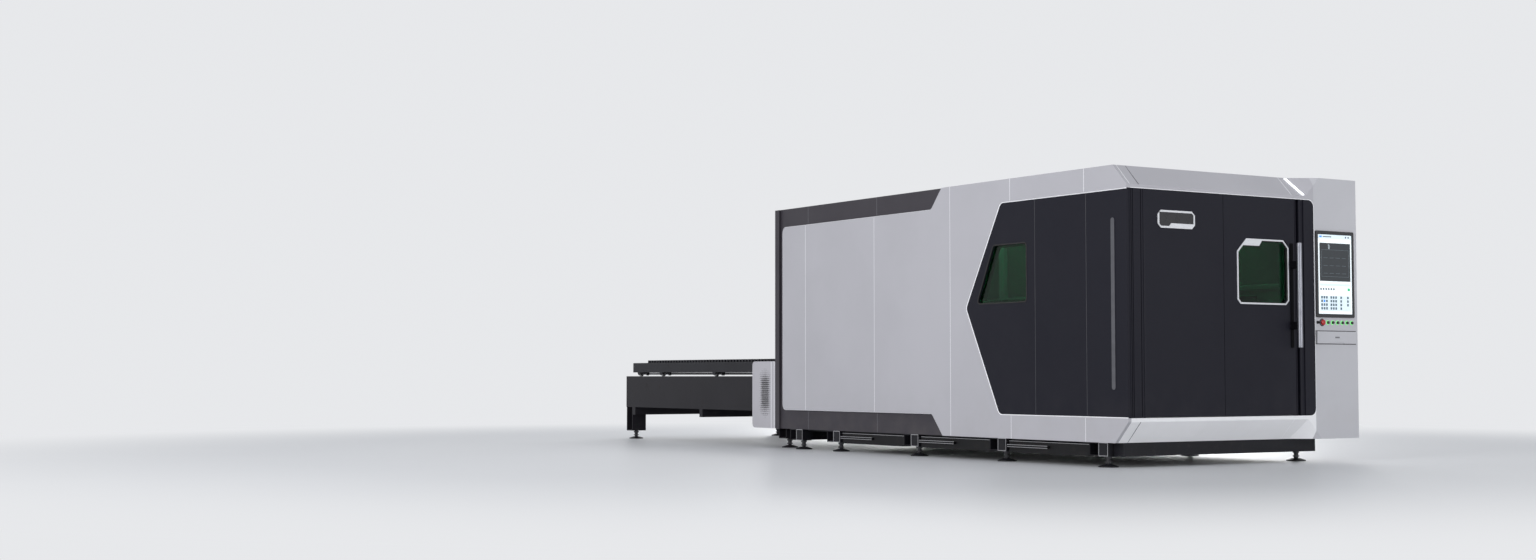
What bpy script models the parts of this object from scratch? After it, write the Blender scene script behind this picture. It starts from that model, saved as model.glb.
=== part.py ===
"""Enclosed fiber laser cutting machine with an exchange table.

Machine frame while modelling: X right across the door end, Y back towards the table, Z up,
with the light cladding on X = 0, the door face on Y = 0 and the floor on Z = 0.
Every object is then shifted so that the middle of the footprint is the origin.
Metres throughout.
"""

import math

import bmesh
import bpy
from mathutils import Vector

# Overall sizes
HEIGHT = 2.200
SKIRT = 0.181
HOUSE_LENGTH = 4.695
HOUSE_WIDTH = 2.150
TABLE_LENGTH = 3.155

# Fits shared by all pieces
SEAT = 0.0003
RUNNING = 0.003
OVERRUN = 0.020
ARC_STEPS = 4

# Walls of the enclosure
WALL = 0.040
CLAD = 0.030
CLAD_ROUND = 0.050
BAND_TOP = 0.170
BAND_LOW = 0.175
BAND_REAR = 0.108
BAND_END = 2.180
BAND_RUN = 0.145
SEAM_WIDTH = 0.004
SEAM_DEPTH = 0.004
SEAM_SHARES = (0.0969, 0.279, 0.441, 0.667, 0.895)
HEX_SEAM_SHARES = (0.235, 0.545)
SLOT_HEADROOM = 0.050

# Door end: the face between the two sloped strips
HEAD = 0.178
TOE = 0.181
LIP = 0.028
SLOPE = 0.140
HEAD_DEPTH = 0.180
FACE_ROUND = 0.055
CREASE_TOP = 1.782
CREASE_LOW = 1.855
APEX = 2.000
LAMP_WIDTH = 0.022
LAMP_THICK = 0.008
LAMP_OFFSET = 0.006
LAMP_SHARES = (0.05, 0.94)

# Dark hexagon on the long side, with its window
HEX_POINT = 1.872
HEX_TOP = 1.430
HEX_LOW = 1.460
HEX_ROUND = 0.060
HEX_POINT_SHARE = 0.508
HEX_RECESS = 0.004
REVEAL = 0.003
WINDOW_SILL = 1.235
WINDOW_HEIGHT = 0.455
WINDOW_FRONT = 1.120
WINDOW_TOP_LENGTH = 0.400
WINDOW_LOW_LENGTH = 0.610
WINDOW_ROUND = 0.030
WINDOW_LEDGE = 0.020
GLASS = 0.006
GLASS_INSET = 0.010

# Upright light strip beside the corner
STRIP_Y = 0.150
STRIP_LOW = 0.566
STRIP_HEIGHT = 1.249
STRIP_WIDTH = 0.038
STRIP_ROUND = 0.0185
STRIP_PROUD = 0.0035

# Corner post
POST_WIDTH = 0.156
POST_THICK = 0.050
GROOVE_WIDTH = 0.006
GROOVE_DEPTH = 0.008
GROOVE_SHARES = (0.26, 0.36, 0.86)

# Two-leaf door
DOOR_WIDTH = 1.567
DOOR_THICK = 0.040
LEAF_SHARE = 0.516
DOOR_GAP = 0.004
HINGE_PIN = 0.007
HINGE_LENGTH = 0.110
HINGE_KNUCKLE = 0.011
HINGE_SHARES = (0.10, 0.50, 0.90)
HINGE_STRAP = 0.045
HINGE_PIN_LENGTH = 0.040
STRAP_THICK = 0.004
PIVOT_INSET = 0.012
PIVOT_DEPTH = 0.020
DOOR_SWEEP = 0.005

# Door window and its rim
PANE_LEFT = 1.110
PANE_WIDTH = 0.540
PANE_SILL = 1.210
PANE_HEIGHT = 0.485
PANE_CHAMFERS = (0.030, 0.055, 0.030, 0.095)
RIM_WIDTH = 0.014
RIM_THICK = 0.006
TAB_LENGTH = 0.225
TAB_DEPTH = 0.040
TAB_SLANT = 0.030

# Handle
HANDLE_X = 1.690
HANDLE_LOW = 0.880
HANDLE_LENGTH = 0.800
HANDLE_RADIUS = 0.019
HANDLE_STANDOFF = 0.080
HANDLE_POST_RADIUS = 0.013
HANDLE_POST_SHARES = (0.21, 0.79)
HANDLE_EASE_SHARE = 0.2
POST_FLANGE = 0.006
POST_FOOT_RADIUS = 0.020
TUBE_SIDES = 16

# Plain plate on the left leaf
PLATE_LEFT = 0.300
PLATE_WIDTH = 0.370
PLATE_SILL = 1.745
PLATE_HEIGHT = 0.130
PLATE_CHAMFER = 0.030
PLATE_THICK = 0.008
PLATE_BORDER = 0.014
PLATE_RECESS = 0.003
PLATE_STEP = 0.110
PLATE_STEP_RISE = 0.022

# Closing channel and jamb
JAMB_THICK = 0.050
CHANNEL_WIDTH = 0.036
CHANNEL_DEPTH = 0.024
CHANNEL_EDGE = 0.060

# Console cabinet
CONSOLE_LEFT = 1.940
CONSOLE_WIDTH = 0.480
CONSOLE_DEPTH = 0.360
BEZEL_LEFT = 1.952
BEZEL_WIDTH = 0.425
BEZEL_SILL = 1.118
BEZEL_HEIGHT = 0.672
BEZEL_ROUND = 0.012
BEZEL_THICK = 0.012
SCREEN_MARGIN = 0.020
SCREEN_RECESS = 0.003

# Controls under the monitor
CONTROL_HEIGHT = 1.079
KEY_X = 1.969
STOP_X = 2.020
BUTTON_FIRST_X = 2.083
BUTTON_PITCH = 0.054
BUTTON_COUNT = 6
BUTTON_RADIUS = 0.012
BUTTON_CAP = 0.008
BUTTON_TRAVEL = 0.004
BUTTON_LIFT = 0.001
BUTTON_EASE_SHARE = 0.25
STOP_DOME_SHARE = 0.6
STOP_RADIUS = 0.019
STOP_CAP = 0.016
STOP_TRAVEL = 0.006
STEM_RADIUS = 0.006
STEM_LENGTH = 0.030
KEY_COLLAR = 0.006
KEY_LENGTH = 0.022
KEY_WIDTH = 0.016
KEY_THICK = 0.003

# Keyboard drawer
TRAY_LEFT = 1.952
TRAY_WIDTH = 0.441
TRAY_SILL = 0.916
TRAY_HEIGHT = 0.094
TRAY_FRONT = 0.014
TRAY_DEPTH = 0.280
TRAY_WALL = 0.005
TRAY_MARGIN = 0.010
TRAY_PLAY = 0.0007
GRIP_DEPTH = 0.006
GRIP_HEIGHT = 0.008
GRIP_WIDTH_SHARE = 0.36

# Base frame and levelling feet
TUBE = 0.100
TUBE_WALL = 0.008
BASE_LEFT = 0.030
BASE_RIGHT = 2.090
BASE_ROWS = (0.300, 1.460, 2.600, 3.750, 4.350)
STEM = 0.017
STEM_SIDES = 10
FOOT_RADIUS = 0.075
FOOT_NECK = 0.030
FOOT_EDGE = 0.008
FOOT_RISE = 0.022
FOOT_SIDES = 12
TIE_WIDTH = 0.100
TIE_THICK = 0.014
TIE_INSET = 0.060

# Slag drawers
SLAG_COUNT = 3
SLAG_DEPTH = 0.090
SLAG_WALL = 0.005
SLAG_INSET = 0.016
SLAG_LENGTH = 1.900
SLAG_LIP = 0.024
SLAG_LIP_HEIGHT = 0.018
SLAG_LIP_SHARE = 0.52
RUNNER = 0.018
RUNNER_THICK = 0.006

# Exchange table
TABLE_LEFT = 0.115
TABLE_INTO_HOUSE = 0.075
RAIL_TOP = 0.660
CHANNEL_HEIGHT = 0.326
CHANNEL_WEB = 0.012
LEDGE = 0.070
LEDGE_THICK = 0.015
LEG_LENGTH = 0.160
LEG_WIDTH = 0.130
LEG_WALL = 0.010
LEG_LOW = 0.085
LEG_REAR_INSET = 0.010
BRACE = 0.016
CROSS_HEIGHT = 0.080
CROSS_WIDTH = 0.060
CROSS_SHARES = (0.022, 0.50, 0.955)
END_PLATE = 0.010
END_PLATE_HEIGHT = 0.180

# Drive covers beside the table
COVER_LEFT = 0.020
COVER_LENGTH = 0.450
COVER_LOW = 0.180
COVER_HEIGHT = 0.620
COVER_ROUND = 0.040
COVER_WALL = 0.005
VENT_ROWS = 10
VENT_COLUMNS = 3
VENT_PITCH = 0.036
VENT_RADIUS = 0.008
VENT_SHARE = 0.42
VENT_SIDES = 4

# Pallets and their wheels
PALLET_SIDE = 0.140
PALLET_FRONT = 4.716
PALLET_LENGTH = 3.030
PALLET_RISE = 0.040
PALLET_BEAM = 0.100
PALLET_SHEET = 0.010
PALLET_CHANNEL = 0.110
PALLET_CROSS = 0.050
PALLET_CROSS_DEPTH = 0.075
SLAT_BEARER_SHARES = (0.33, 0.66)
PALLET_TRAVEL = 3.350
SLAT_COUNT = 34
SLAT_FIRST = 0.084
SLAT_SPAN = 2.680
SLAT_THICK = 0.004
SLAT_LOW = 0.035
SLAT_TIP = 0.127
SLAT_TEETH = 5
TOOTH_DEPTH = 0.024
WHEEL_RADIUS = 0.0275
WHEEL_WIDTH = 0.028
WHEEL_SIDES = 16
WHEEL_INSET = 0.006
AXLE_RADIUS = 0.0125
AXLE_PLAY = 0.00008
EAR_LENGTH = 0.060
EAR_BELOW = 0.020
AXLE_SHARES = (0.087, 0.4435, 0.80, 0.9575)

# Bed inside the enclosure
BED_FRONT = 0.400
BED_WEB = 0.050
BED_TOP = 1.020
BED_BEAM = 0.120
BED_BEAM_WIDTH = 0.160
BED_CROSS = 0.100
BED_CROSS_SHARES = (0.02, 0.34, 0.66, 0.94)
GUIDE_WIDTH = 0.030
GUIDE_HEIGHT = 0.028
GUIDE_WAIST_SHARE = 0.6
GUIDE_END = 0.050

# Gantry, carriage and cutting head
GANTRY_Y = 0.860
GANTRY_DEPTH = 0.220
GANTRY_HEIGHT = 0.200
GANTRY_CHAMFER = 0.030
GANTRY_CLEAR = 0.060
SHOE_LENGTH = 0.300
SHOE_WIDTH = 0.090
SHOE_WRAP = 0.018
SHOE_PLAY = 0.0005
CARRIAGE_WIDTH = 0.220
CARRIAGE_DEPTH = 0.050
CARRIAGE_HEIGHT = 0.340
CARRIAGE_DROP = 0.060
CARRIAGE_RAIL = 0.016
CARRIAGE_RAIL_SHARES = (0.25, 0.75)
CARRIAGE_ROUND = 0.025
HEAD_WIDTH = 0.110
HEAD_BODY = 0.080
HEAD_HEIGHT = 0.300
NOZZLE_TIP = 0.900
NOZZLE_LENGTH = 0.170
NOZZLE_RADIUS = 0.034
NOZZLE_BODY_SHARE = 0.94
NOZZLE_SHARES = ((0.15, 0.0), (0.35, 0.13), (0.59, 0.155), (0.70, 0.41), (1.0, 0.45), (1.0, 1.0))
HEAD_ROUND = 0.020
NOZZLE_SIDES = 20

# Places that follow from the sizes above
HOUSE_MIDDLE = (CLAD + HOUSE_WIDTH) / 2
FACE_TOP = HEIGHT - HEAD
FACE_LOW = SKIRT + TOE
CONSOLE_RIGHT = CONSOLE_LEFT + CONSOLE_WIDTH
TABLE_END = HOUSE_LENGTH + TABLE_LENGTH
HANDLE_FRONT = -HANDLE_STANDOFF - HANDLE_RADIUS * math.cos(math.pi / TUBE_SIDES)
FOOTPRINT_MIDDLE = Vector((CONSOLE_RIGHT / 2, (TABLE_END + HANDLE_FRONT) / 2, 0.0))
DOOR_LEFT = POST_WIDTH + RUNNING
DOOR_SEAM = DOOR_LEFT + DOOR_WIDTH * LEAF_SHARE
DOOR_RIGHT = DOOR_LEFT + DOOR_WIDTH
INNER_LEFT = CLAD + WALL
INNER_RIGHT = HOUSE_WIDTH - WALL
TABLE_MIDDLE = HOUSE_MIDDLE
TABLE_LOW = RAIL_TOP - CHANNEL_HEIGHT
LOWER_RAIL = TABLE_LOW + LEDGE_THICK
BASE_TOP = SKIRT - SEAT
BED_LEFT = TABLE_LEFT + CHANNEL_WEB - BED_WEB
GUIDE_X = BED_LEFT + BED_BEAM_WIDTH / 2
GANTRY_LOW = BED_TOP + GUIDE_HEIGHT + GANTRY_CLEAR


# Materials
def paint(name, colour, roughness, metallic=0.0):
    """Return the Principled material with this name, made at its first use."""
    found = bpy.data.materials.get(name)
    if found:
        return found
    material = bpy.data.materials.new(name)
    material.use_nodes = True
    shader = material.node_tree.nodes["Principled BSDF"]
    shader.inputs["Base Color"].default_value = (*colour, 1.0)
    shader.inputs["Roughness"].default_value = roughness
    shader.inputs["Metallic"].default_value = metallic
    material.diffuse_color = (*colour, 1.0)
    return material


def light_paint():
    return paint("light_grey_paint", (0.52, 0.52, 0.56), 0.42)


def dark_paint():
    return paint("anthracite_paint", (0.028, 0.028, 0.034), 0.45)


def border_paint():
    return paint("graphite_paint", (0.062, 0.058, 0.070), 0.45)


def black_paint():
    return paint("black_frame_paint", (0.016, 0.016, 0.019), 0.50)


def white_metal():
    return paint("silver_trim", (0.78, 0.79, 0.82), 0.28, 0.8)


def bare_steel():
    return paint("machined_steel", (0.46, 0.47, 0.49), 0.35, 1.0)


def green_glass():
    return paint("green_laser_glass", (0.020, 0.085, 0.035), 0.08)


def light_cover():
    return paint("lamp_cover", (0.90, 0.92, 0.95), 0.30)


def black_plastic():
    return paint("black_plastic", (0.012, 0.012, 0.013), 0.35)


def screen_face():
    return paint("screen_face", (0.62, 0.70, 0.80), 0.15)


def red_plastic():
    return paint("red_plastic", (0.65, 0.015, 0.012), 0.35)


def green_plastic():
    return paint("green_plastic", (0.10, 0.55, 0.18), 0.30)


# Closed solids as (points, faces)
def block(low, high):
    """Box between two corners."""
    xs, ys, zs = zip(low, high)
    points = [(x, y, z) for z in zs for y in ys for x in xs]
    faces = [(0, 2, 3, 1), (4, 5, 7, 6), (0, 1, 5, 4), (2, 6, 7, 3), (0, 4, 6, 2), (1, 3, 7, 5)]
    return points, faces


def lift(axis, along, first, second):
    """Place an outline point: X takes (y, z), Y takes (x, z), Z takes (x, y)."""
    if axis == "X":
        return (along, first, second)
    if axis == "Y":
        return (first, along, second)
    return (first, second, along)


def outwards(points, faces):
    """Turn a closed solid's faces round where its volume comes out negative."""
    volume = 0.0
    for face in faces:
        origin = Vector(points[face[0]])
        for second, third in zip(face[1:], face[2:]):
            volume += origin.dot(Vector(points[second]).cross(Vector(points[third])))
    if volume < 0:
        faces = [tuple(reversed(face)) for face in faces]
    return points, faces


def prism(outline, axis, start, end):
    """Extrude a closed outline along one axis."""
    count = len(outline)
    points = [lift(axis, along, *pair) for along in (start, end) for pair in outline]
    faces = [tuple(range(count)), tuple(reversed(range(count, 2 * count)))]
    for index in range(count):
        after = (index + 1) % count
        faces.append((index, index + count, after + count, after))
    return outwards(points, faces)


def pipe(low, high, wall, axis):
    """Square tube, open at both ends, along one axis."""
    span = {"X": (1, 2), "Y": (0, 2), "Z": (0, 1)}[axis]
    run = {"X": 0, "Y": 1, "Z": 2}[axis]
    points = []
    for along in (low[run], high[run]):
        for inset in (0.0, wall):
            first = (low[span[0]] + inset, high[span[0]] - inset)
            second = (low[span[1]] + inset, high[span[1]] - inset)
            corners = ((first[0], second[0]), (first[1], second[0]), (first[1], second[1]), (first[0], second[1]))
            points += [lift(axis, along, *corner) for corner in corners]
    faces = []
    for index in range(4):
        after = (index + 1) % 4
        faces.append((index, after, after + 8, index + 8))
        faces.append((index + 4, index + 12, after + 12, after + 4))
        faces.append((index, index + 4, after + 4, after))
        faces.append((index + 8, after + 8, after + 12, index + 12))
    return outwards(points, faces)


def turned(profile, axis, centre, sides):
    """Revolve (radius, place) pairs about an axis through the centre; the profile starts and ends on it."""
    rings = [pair for pair in profile if pair[0] > 0]
    points = []
    for radius, along in rings:
        for index in range(sides):
            angle = 2 * math.pi * (index + 0.5) / sides
            pair = (radius * math.cos(angle), radius * math.sin(angle))
            place = Vector(lift(axis, along, *pair)) + Vector(centre)
            points.append(tuple(place))
    faces = [tuple(range(sides)), tuple(reversed(range(len(points) - sides, len(points))))]
    for ring in range(len(rings) - 1):
        for index in range(sides):
            after = (index + 1) % sides
            lower = ring * sides
            upper = lower + sides
            faces.append((lower + index, upper + index, upper + after, lower + after))
    return outwards(points, faces)


def bore_radius(shaft, play, sides):
    """Radius of a faceted bore whose flats clear a turning shaft."""
    return (shaft + play) / math.cos(math.pi / sides)


def rod(radius, axis, centre, start, end, sides):
    """Plain cylinder."""
    return turned(((radius, start), (radius, end)), axis, centre, sides)


def hull(points):
    """Smallest convex solid round the points."""
    mesh = bmesh.new()
    for point in points:
        mesh.verts.new(point)
    result = bmesh.ops.convex_hull(mesh, input=mesh.verts)
    loose = [item for item in result["geom_interior"] if isinstance(item, bmesh.types.BMVert)]
    bmesh.ops.delete(mesh, geom=loose, context="VERTS")
    mesh.verts.index_update()
    found = [tuple(vert.co) for vert in mesh.verts]
    faces = [tuple(vert.index for vert in face.verts) for face in mesh.faces]
    mesh.free()
    return outwards(found, faces)


def mirrored(solid, middle=TABLE_MIDDLE):
    """The same solid on the other side of an upright plane across X."""
    points, faces = solid
    flipped = [(2 * middle - x, y, z) for x, y, z in points]
    return flipped, [tuple(reversed(face)) for face in faces]


def both_sides(solid):
    """A solid and its mirror image about the table's middle plane."""
    return [solid, mirrored(solid)]


def rounded(corners, steps=ARC_STEPS):
    """Outline from (first, second, radius) corners, each turned into an arc; steps=1 gives chamfers."""
    outline = []
    count = len(corners)
    for index, (first, second, radius) in enumerate(corners):
        here = Vector((first, second))
        if radius <= 0:
            outline.append((first, second))
            continue
        back = (Vector(corners[index - 1][:2]) - here).normalized()
        ahead = (Vector(corners[(index + 1) % count][:2]) - here).normalized()
        half = back.angle(ahead) / 2
        reach = radius / math.tan(half)
        centre = here + (back + ahead).normalized() * radius / math.sin(half)
        start = here + back * reach - centre
        sweep = start.angle_signed(here + ahead * reach - centre)
        for step in range(steps + 1):
            turn = -sweep * step / steps
            spun = Vector((start.x * math.cos(turn) - start.y * math.sin(turn),
                           start.x * math.sin(turn) + start.y * math.cos(turn)))
            outline.append(tuple(centre + spun))
    return outline


def chamfered(left, right, low, high, cuts):
    """Rectangle with its corners cut at 45 degrees: lower left, lower right, upper right, upper left."""
    low_left, low_right, top_right, top_left = cuts
    return [(left + low_left, low), (right - low_right, low), (right, low + low_right), (right, high - top_right),
            (right - top_right, high), (left + top_left, high), (left, high - top_left), (left, low + low_left)]


# Objects from solids
def merged_mesh(name, solids):
    """One mesh that holds several solids side by side."""
    points = []
    faces = []
    for more_points, more_faces in solids:
        start = len(points)
        points += more_points
        faces += [tuple(index + start for index in face) for face in more_faces]
    mesh = bpy.data.meshes.new(name)
    mesh.from_pydata(points, [], faces)
    mesh.update()
    return mesh


def helper(name, solids):
    """Hidden operand of a Boolean."""
    thing = bpy.data.objects.new(name, merged_mesh(name, solids))
    bpy.context.scene.collection.objects.link(thing)
    thing.hide_render = True
    thing.display_type = "WIRE"
    thing.location = -FOOTPRINT_MIDDLE
    return thing


def boolean(target, operand, operation):
    """Add one exact Boolean; the operand may hold solids that cross each other."""
    modifier = target.modifiers.new(operand.name, "BOOLEAN")
    modifier.object = operand
    modifier.operation = operation
    modifier.solver = "EXACT"
    modifier.use_self = True


def piece(name, material, solids, cuts=(), pivot=None, smooth_angle=None):
    """One named sub-part: its solids welded into one body, then its cuts taken out of it."""
    thing = bpy.data.objects.new(name, merged_mesh(name, solids[:1]))
    bpy.context.scene.collection.objects.link(thing)
    thing.data.materials.append(material)
    place = Vector(pivot) if pivot else FOOTPRINT_MIDDLE.copy()
    for vertex in thing.data.vertices:
        vertex.co -= place
    thing.location = place - FOOTPRINT_MIDDLE
    if len(solids) > 1:
        boolean(thing, helper(name + "_welded", solids[1:]), "UNION")
    if cuts:
        boolean(thing, helper(name + "_cut", list(cuts)), "DIFFERENCE")
    if smooth_angle:
        thing.data.shade_smooth()
        thing.data.set_sharp_from_angle(angle=smooth_angle)
    return thing


SMOOTH = math.radians(40)


# Enclosure walls
def inset(corners, distance):
    """Outline corners with every side moved inwards by one distance."""
    area = 0.0
    for index, here in enumerate(corners):
        before = corners[index - 1]
        area += before[0] * here[1] - here[0] * before[1]
    hand = 1.0 if area > 0 else -1.0
    moved = []
    for index, here in enumerate(corners):
        after = corners[(index + 1) % len(corners)]
        before = corners[index - 1]
        arriving = (Vector(here[:2]) - Vector(before[:2])).normalized()
        leaving = (Vector(after[:2]) - Vector(here[:2])).normalized()
        first = Vector((-arriving.y, arriving.x)) * hand
        second = Vector((-leaving.y, leaving.x)) * hand
        shift = (first + second) * distance / (1 + first.dot(second))
        moved.append((here[0] + shift.x, here[1] + shift.y, *here[2:]))
    return moved


def hexagon_corners():
    """Dark panel on the long side: straight at the door end, pointed at the other."""
    point_height = FACE_LOW + (FACE_TOP - FACE_LOW) * HEX_POINT_SHARE
    return [(0.0, FACE_LOW, 0.0), (HEX_LOW, FACE_LOW, HEX_ROUND), (HEX_POINT, point_height, HEX_ROUND),
            (HEX_TOP, FACE_TOP, HEX_ROUND), (0.0, FACE_TOP, 0.0)]


def side_window_corners():
    """Window in the dark panel; its rear edge follows the panel's point."""
    top = WINDOW_SILL + WINDOW_HEIGHT
    return [(WINDOW_FRONT, WINDOW_SILL, WINDOW_ROUND),
            (WINDOW_FRONT + WINDOW_LOW_LENGTH, WINDOW_SILL, WINDOW_ROUND),
            (WINDOW_FRONT + WINDOW_TOP_LENGTH, top, WINDOW_ROUND), (WINDOW_FRONT, top, WINDOW_ROUND)]


def seam_cuts(face_x, shares, length):
    """Upright grooves in a side face, at shares of a length."""
    cuts = []
    for share in shares:
        middle = length * share
        low = (face_x - OVERRUN, middle - SEAM_WIDTH / 2, SKIRT - OVERRUN)
        high = (face_x + SEAM_DEPTH, middle + SEAM_WIDTH / 2, HEIGHT + OVERRUN)
        cuts.append(block(low, high))
    return cuts


def left_cladding():
    """Light skin of the long side, folded round the dark hexagon and stepped down to the dark border."""
    low = SKIRT + BAND_LOW
    high = HEIGHT - BAND_TOP
    rear = HOUSE_LENGTH - BAND_REAR
    step = BAND_END + BAND_RUN
    hexagon = hexagon_corners()
    corners = [(0.0, FACE_LOW - LIP, 0.0), (SLOPE, SKIRT, 0.0), (BAND_END, SKIRT, 0.0), (step, low, CLAD_ROUND),
               (rear, low, CLAD_ROUND), (rear, high, CLAD_ROUND), (step, high, CLAD_ROUND),
               (BAND_END, HEIGHT, 0.0), (SLOPE, HEIGHT, 0.0), (0.0, FACE_TOP + LIP, 0.0)]
    corners += list(reversed(hexagon))
    skin = prism(rounded(corners), "X", 0.0, CLAD - SEAT)
    return piece("left_cladding", light_paint(), [skin], cuts=seam_cuts(0.0, SEAM_SHARES, HOUSE_LENGTH))


def left_border_frame():
    """Dark side wall behind the cladding; it shows as the border at the table end."""
    front = HEAD_DEPTH
    wall = block((CLAD, front, SKIRT), (INNER_LEFT, HOUSE_LENGTH, HEIGHT))
    opening = prism(rounded(inset(side_window_corners(), WINDOW_LEDGE)), "X", CLAD - OVERRUN, INNER_LEFT + OVERRUN)
    cuts = [opening] + seam_cuts(CLAD, SEAM_SHARES[3:], HOUSE_LENGTH)
    return piece("left_border_frame", border_paint(), [wall], cuts=cuts)


def left_window_panel():
    """Dark hexagonal panel of the long side, with its window opening and seams."""
    panel = prism(rounded(inset(hexagon_corners(), REVEAL)), "X", HEX_RECESS, CLAD - SEAT)
    opening = prism(rounded(side_window_corners()), "X", HEX_RECESS - OVERRUN, CLAD + OVERRUN)
    cuts = [opening] + seam_cuts(HEX_RECESS, HEX_SEAM_SHARES, HEX_POINT)
    return piece("left_window_panel", dark_paint(), [panel], cuts=cuts)


def side_window_glass():
    """Green pane against the wall's ledge."""
    outline = rounded(inset(side_window_corners(), SEAT))
    pane = prism(outline, "X", CLAD - GLASS - SEAT, CLAD - SEAT)
    return piece("side_window_glass", green_glass(), [pane])


def side_light_strip():
    """Upright lamp bar with round ends beside the corner."""
    radius = STRIP_WIDTH / 2
    top = STRIP_LOW + STRIP_HEIGHT
    corners = [(STRIP_Y - radius, STRIP_LOW, STRIP_ROUND), (STRIP_Y + radius, STRIP_LOW, STRIP_ROUND),
               (STRIP_Y + radius, top, STRIP_ROUND), (STRIP_Y - radius, top, STRIP_ROUND)]
    bar = prism(rounded(corners), "X", HEX_RECESS - SEAT - STRIP_PROUD, HEX_RECESS - SEAT)
    return piece("side_light_strip", light_cover(), [bar])


def right_side_wall():
    """Plain far wall, behind the console cabinet."""
    wall = block((INNER_RIGHT, CONSOLE_DEPTH + SEAT, SKIRT), (HOUSE_WIDTH, HOUSE_LENGTH, HEIGHT))
    cuts = []
    for share in SEAM_SHARES[1:]:
        middle = HOUSE_LENGTH * share
        low = (HOUSE_WIDTH - SEAM_DEPTH, middle - SEAM_WIDTH / 2, SKIRT - OVERRUN)
        high = (HOUSE_WIDTH + OVERRUN, middle + SEAM_WIDTH / 2, HEIGHT + OVERRUN)
        cuts.append(block(low, high))
    return piece("right_side_wall", light_paint(), [wall], cuts=cuts)


def roof_panel():
    """Roof between the walls, notched round the console cabinet."""
    left = INNER_LEFT + SEAT
    right = INNER_RIGHT - SEAT
    front = HEAD_DEPTH + SEAT
    rear = HOUSE_LENGTH - WALL - SEAT
    notch_x = CONSOLE_LEFT - SEAT
    notch_y = CONSOLE_DEPTH + SEAT
    outline = [(left, front), (notch_x, front), (notch_x, notch_y), (right, notch_y), (right, rear), (left, rear)]
    return piece("roof_panel", light_paint(), [prism(outline, "Z", HEIGHT - WALL, HEIGHT)])


def rear_wall():
    """Wall at the table end with the slot for both pallet levels."""
    wall = block((INNER_LEFT + SEAT, HOUSE_LENGTH - WALL, SKIRT), (INNER_RIGHT - SEAT, HOUSE_LENGTH, HEIGHT))
    left = TABLE_LEFT - RUNNING
    right = 2 * TABLE_MIDDLE - left
    low = RAIL_TOP - CHANNEL_HEIGHT - RUNNING
    high = RAIL_TOP + PALLET_RISE + SLAT_TIP + SLOT_HEADROOM
    slot = block((left, HOUSE_LENGTH - WALL - OVERRUN, low), (right, HOUSE_LENGTH + OVERRUN, high))
    return piece("rear_wall", border_paint(), [wall], cuts=[slot])


# Door end
def facet_x(reach, drop, full_drop):
    """X of the slanted facet beside the console, from its distance behind the face and from the lip."""
    return CREASE_LOW + (CREASE_TOP - APEX) * reach / SLOPE + (APEX - CREASE_LOW) * drop / full_drop


def slope_wedge(edge, outer):
    """Cutter that slopes a strip back from its lip and ends it at the slanted facet."""
    rise = outer - edge
    steep = rise / SLOPE
    reach = SLOPE + OVERRUN
    section = [(-OVERRUN, edge - OVERRUN * steep), (reach, edge + reach * steep), (-OVERRUN, edge + reach * steep)]
    points = []
    for y, z in section:
        points.append((-OVERRUN, y, z))
        points.append((facet_x(y, z - edge, rise), y, z))
    return hull(points)


def face_corner(edge, lip_side):
    """Web in the dark face's rounded corner; it belongs to the light strip above or below."""
    centre_x = CONSOLE_LEFT - FACE_ROUND
    centre_z = edge - lip_side * FACE_ROUND
    arc = []
    for step in range(ARC_STEPS + 1):
        angle = math.pi / 2 * step / ARC_STEPS
        arc.append((centre_x + FACE_ROUND * math.cos(angle), centre_z + lip_side * FACE_ROUND * math.sin(angle)))
    buried = edge + lip_side * LIP / 2
    outline = [(CONSOLE_LEFT - SEAT, buried), (CONSOLE_LEFT - SEAT, centre_z)] + arc[1:] + [(centre_x, buried)]
    return prism(outline, "Y", 0.0, JAMB_THICK)


def door_pivot_bore(edge, lip_side):
    """Bore for the door's pivot pin, from the strip's edge inwards."""
    deep = edge + lip_side * (PIVOT_DEPTH + RUNNING)
    return rod(bore_radius(HINGE_PIN, AXLE_PLAY, STEM_SIDES), "Z", (DOOR_LEFT + PIVOT_INSET, PIVOT_INSET, 0.0),
               edge - lip_side * OVERRUN, deep, STEM_SIDES)


def fascia(name, edge, outer, lip_side):
    """Light strip above or below the door: lip, slope back and slanted end facet."""
    body = block((CLAD, 0.0, min(edge, outer)), (CONSOLE_LEFT - SEAT, HEAD_DEPTH, max(edge, outer)))
    cuts = [slope_wedge(edge + lip_side * LIP, outer), door_pivot_bore(edge, lip_side)]
    return piece(name, light_paint(), [body, face_corner(edge, lip_side)], cuts=cuts)


def fascia_light_bar():
    """Slanted lamp bar that lies on the upper slope, along the crease."""
    edge = FACE_TOP + LIP
    rise = HEIGHT - edge
    normal = Vector((0.0, -rise, SLOPE)).normalized()
    points = []
    for share in LAMP_SHARES:
        right = CREASE_LOW + (CREASE_TOP - CREASE_LOW) * share - LAMP_OFFSET
        for x in (right - LAMP_WIDTH, right):
            base = Vector((x, SLOPE * share, edge + rise * share))
            points.append(tuple(base + normal * SEAT))
            points.append(tuple(base + normal * LAMP_THICK))
    return piece("fascia_light_bar", light_cover(), [hull(points)])


def corner_post():
    """Grooved dark post that turns the corner from the door end to the long side."""
    back = CLAD + WALL
    outline = [(CLAD, 0.0), (POST_WIDTH, 0.0), (POST_WIDTH, POST_THICK), (back, POST_THICK),
               (back, HEAD_DEPTH - SEAT), (CLAD, HEAD_DEPTH - SEAT)]
    post = prism(outline, "Z", FACE_LOW + SEAT, FACE_TOP - SEAT)
    cuts = []
    for share in GROOVE_SHARES:
        x = POST_WIDTH * share
        cuts.append(block((x, -OVERRUN, FACE_LOW - OVERRUN), (x + GROOVE_WIDTH, GROOVE_DEPTH, FACE_TOP + OVERRUN)))
    return piece("corner_post", dark_paint(), [post], cuts=cuts)


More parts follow.
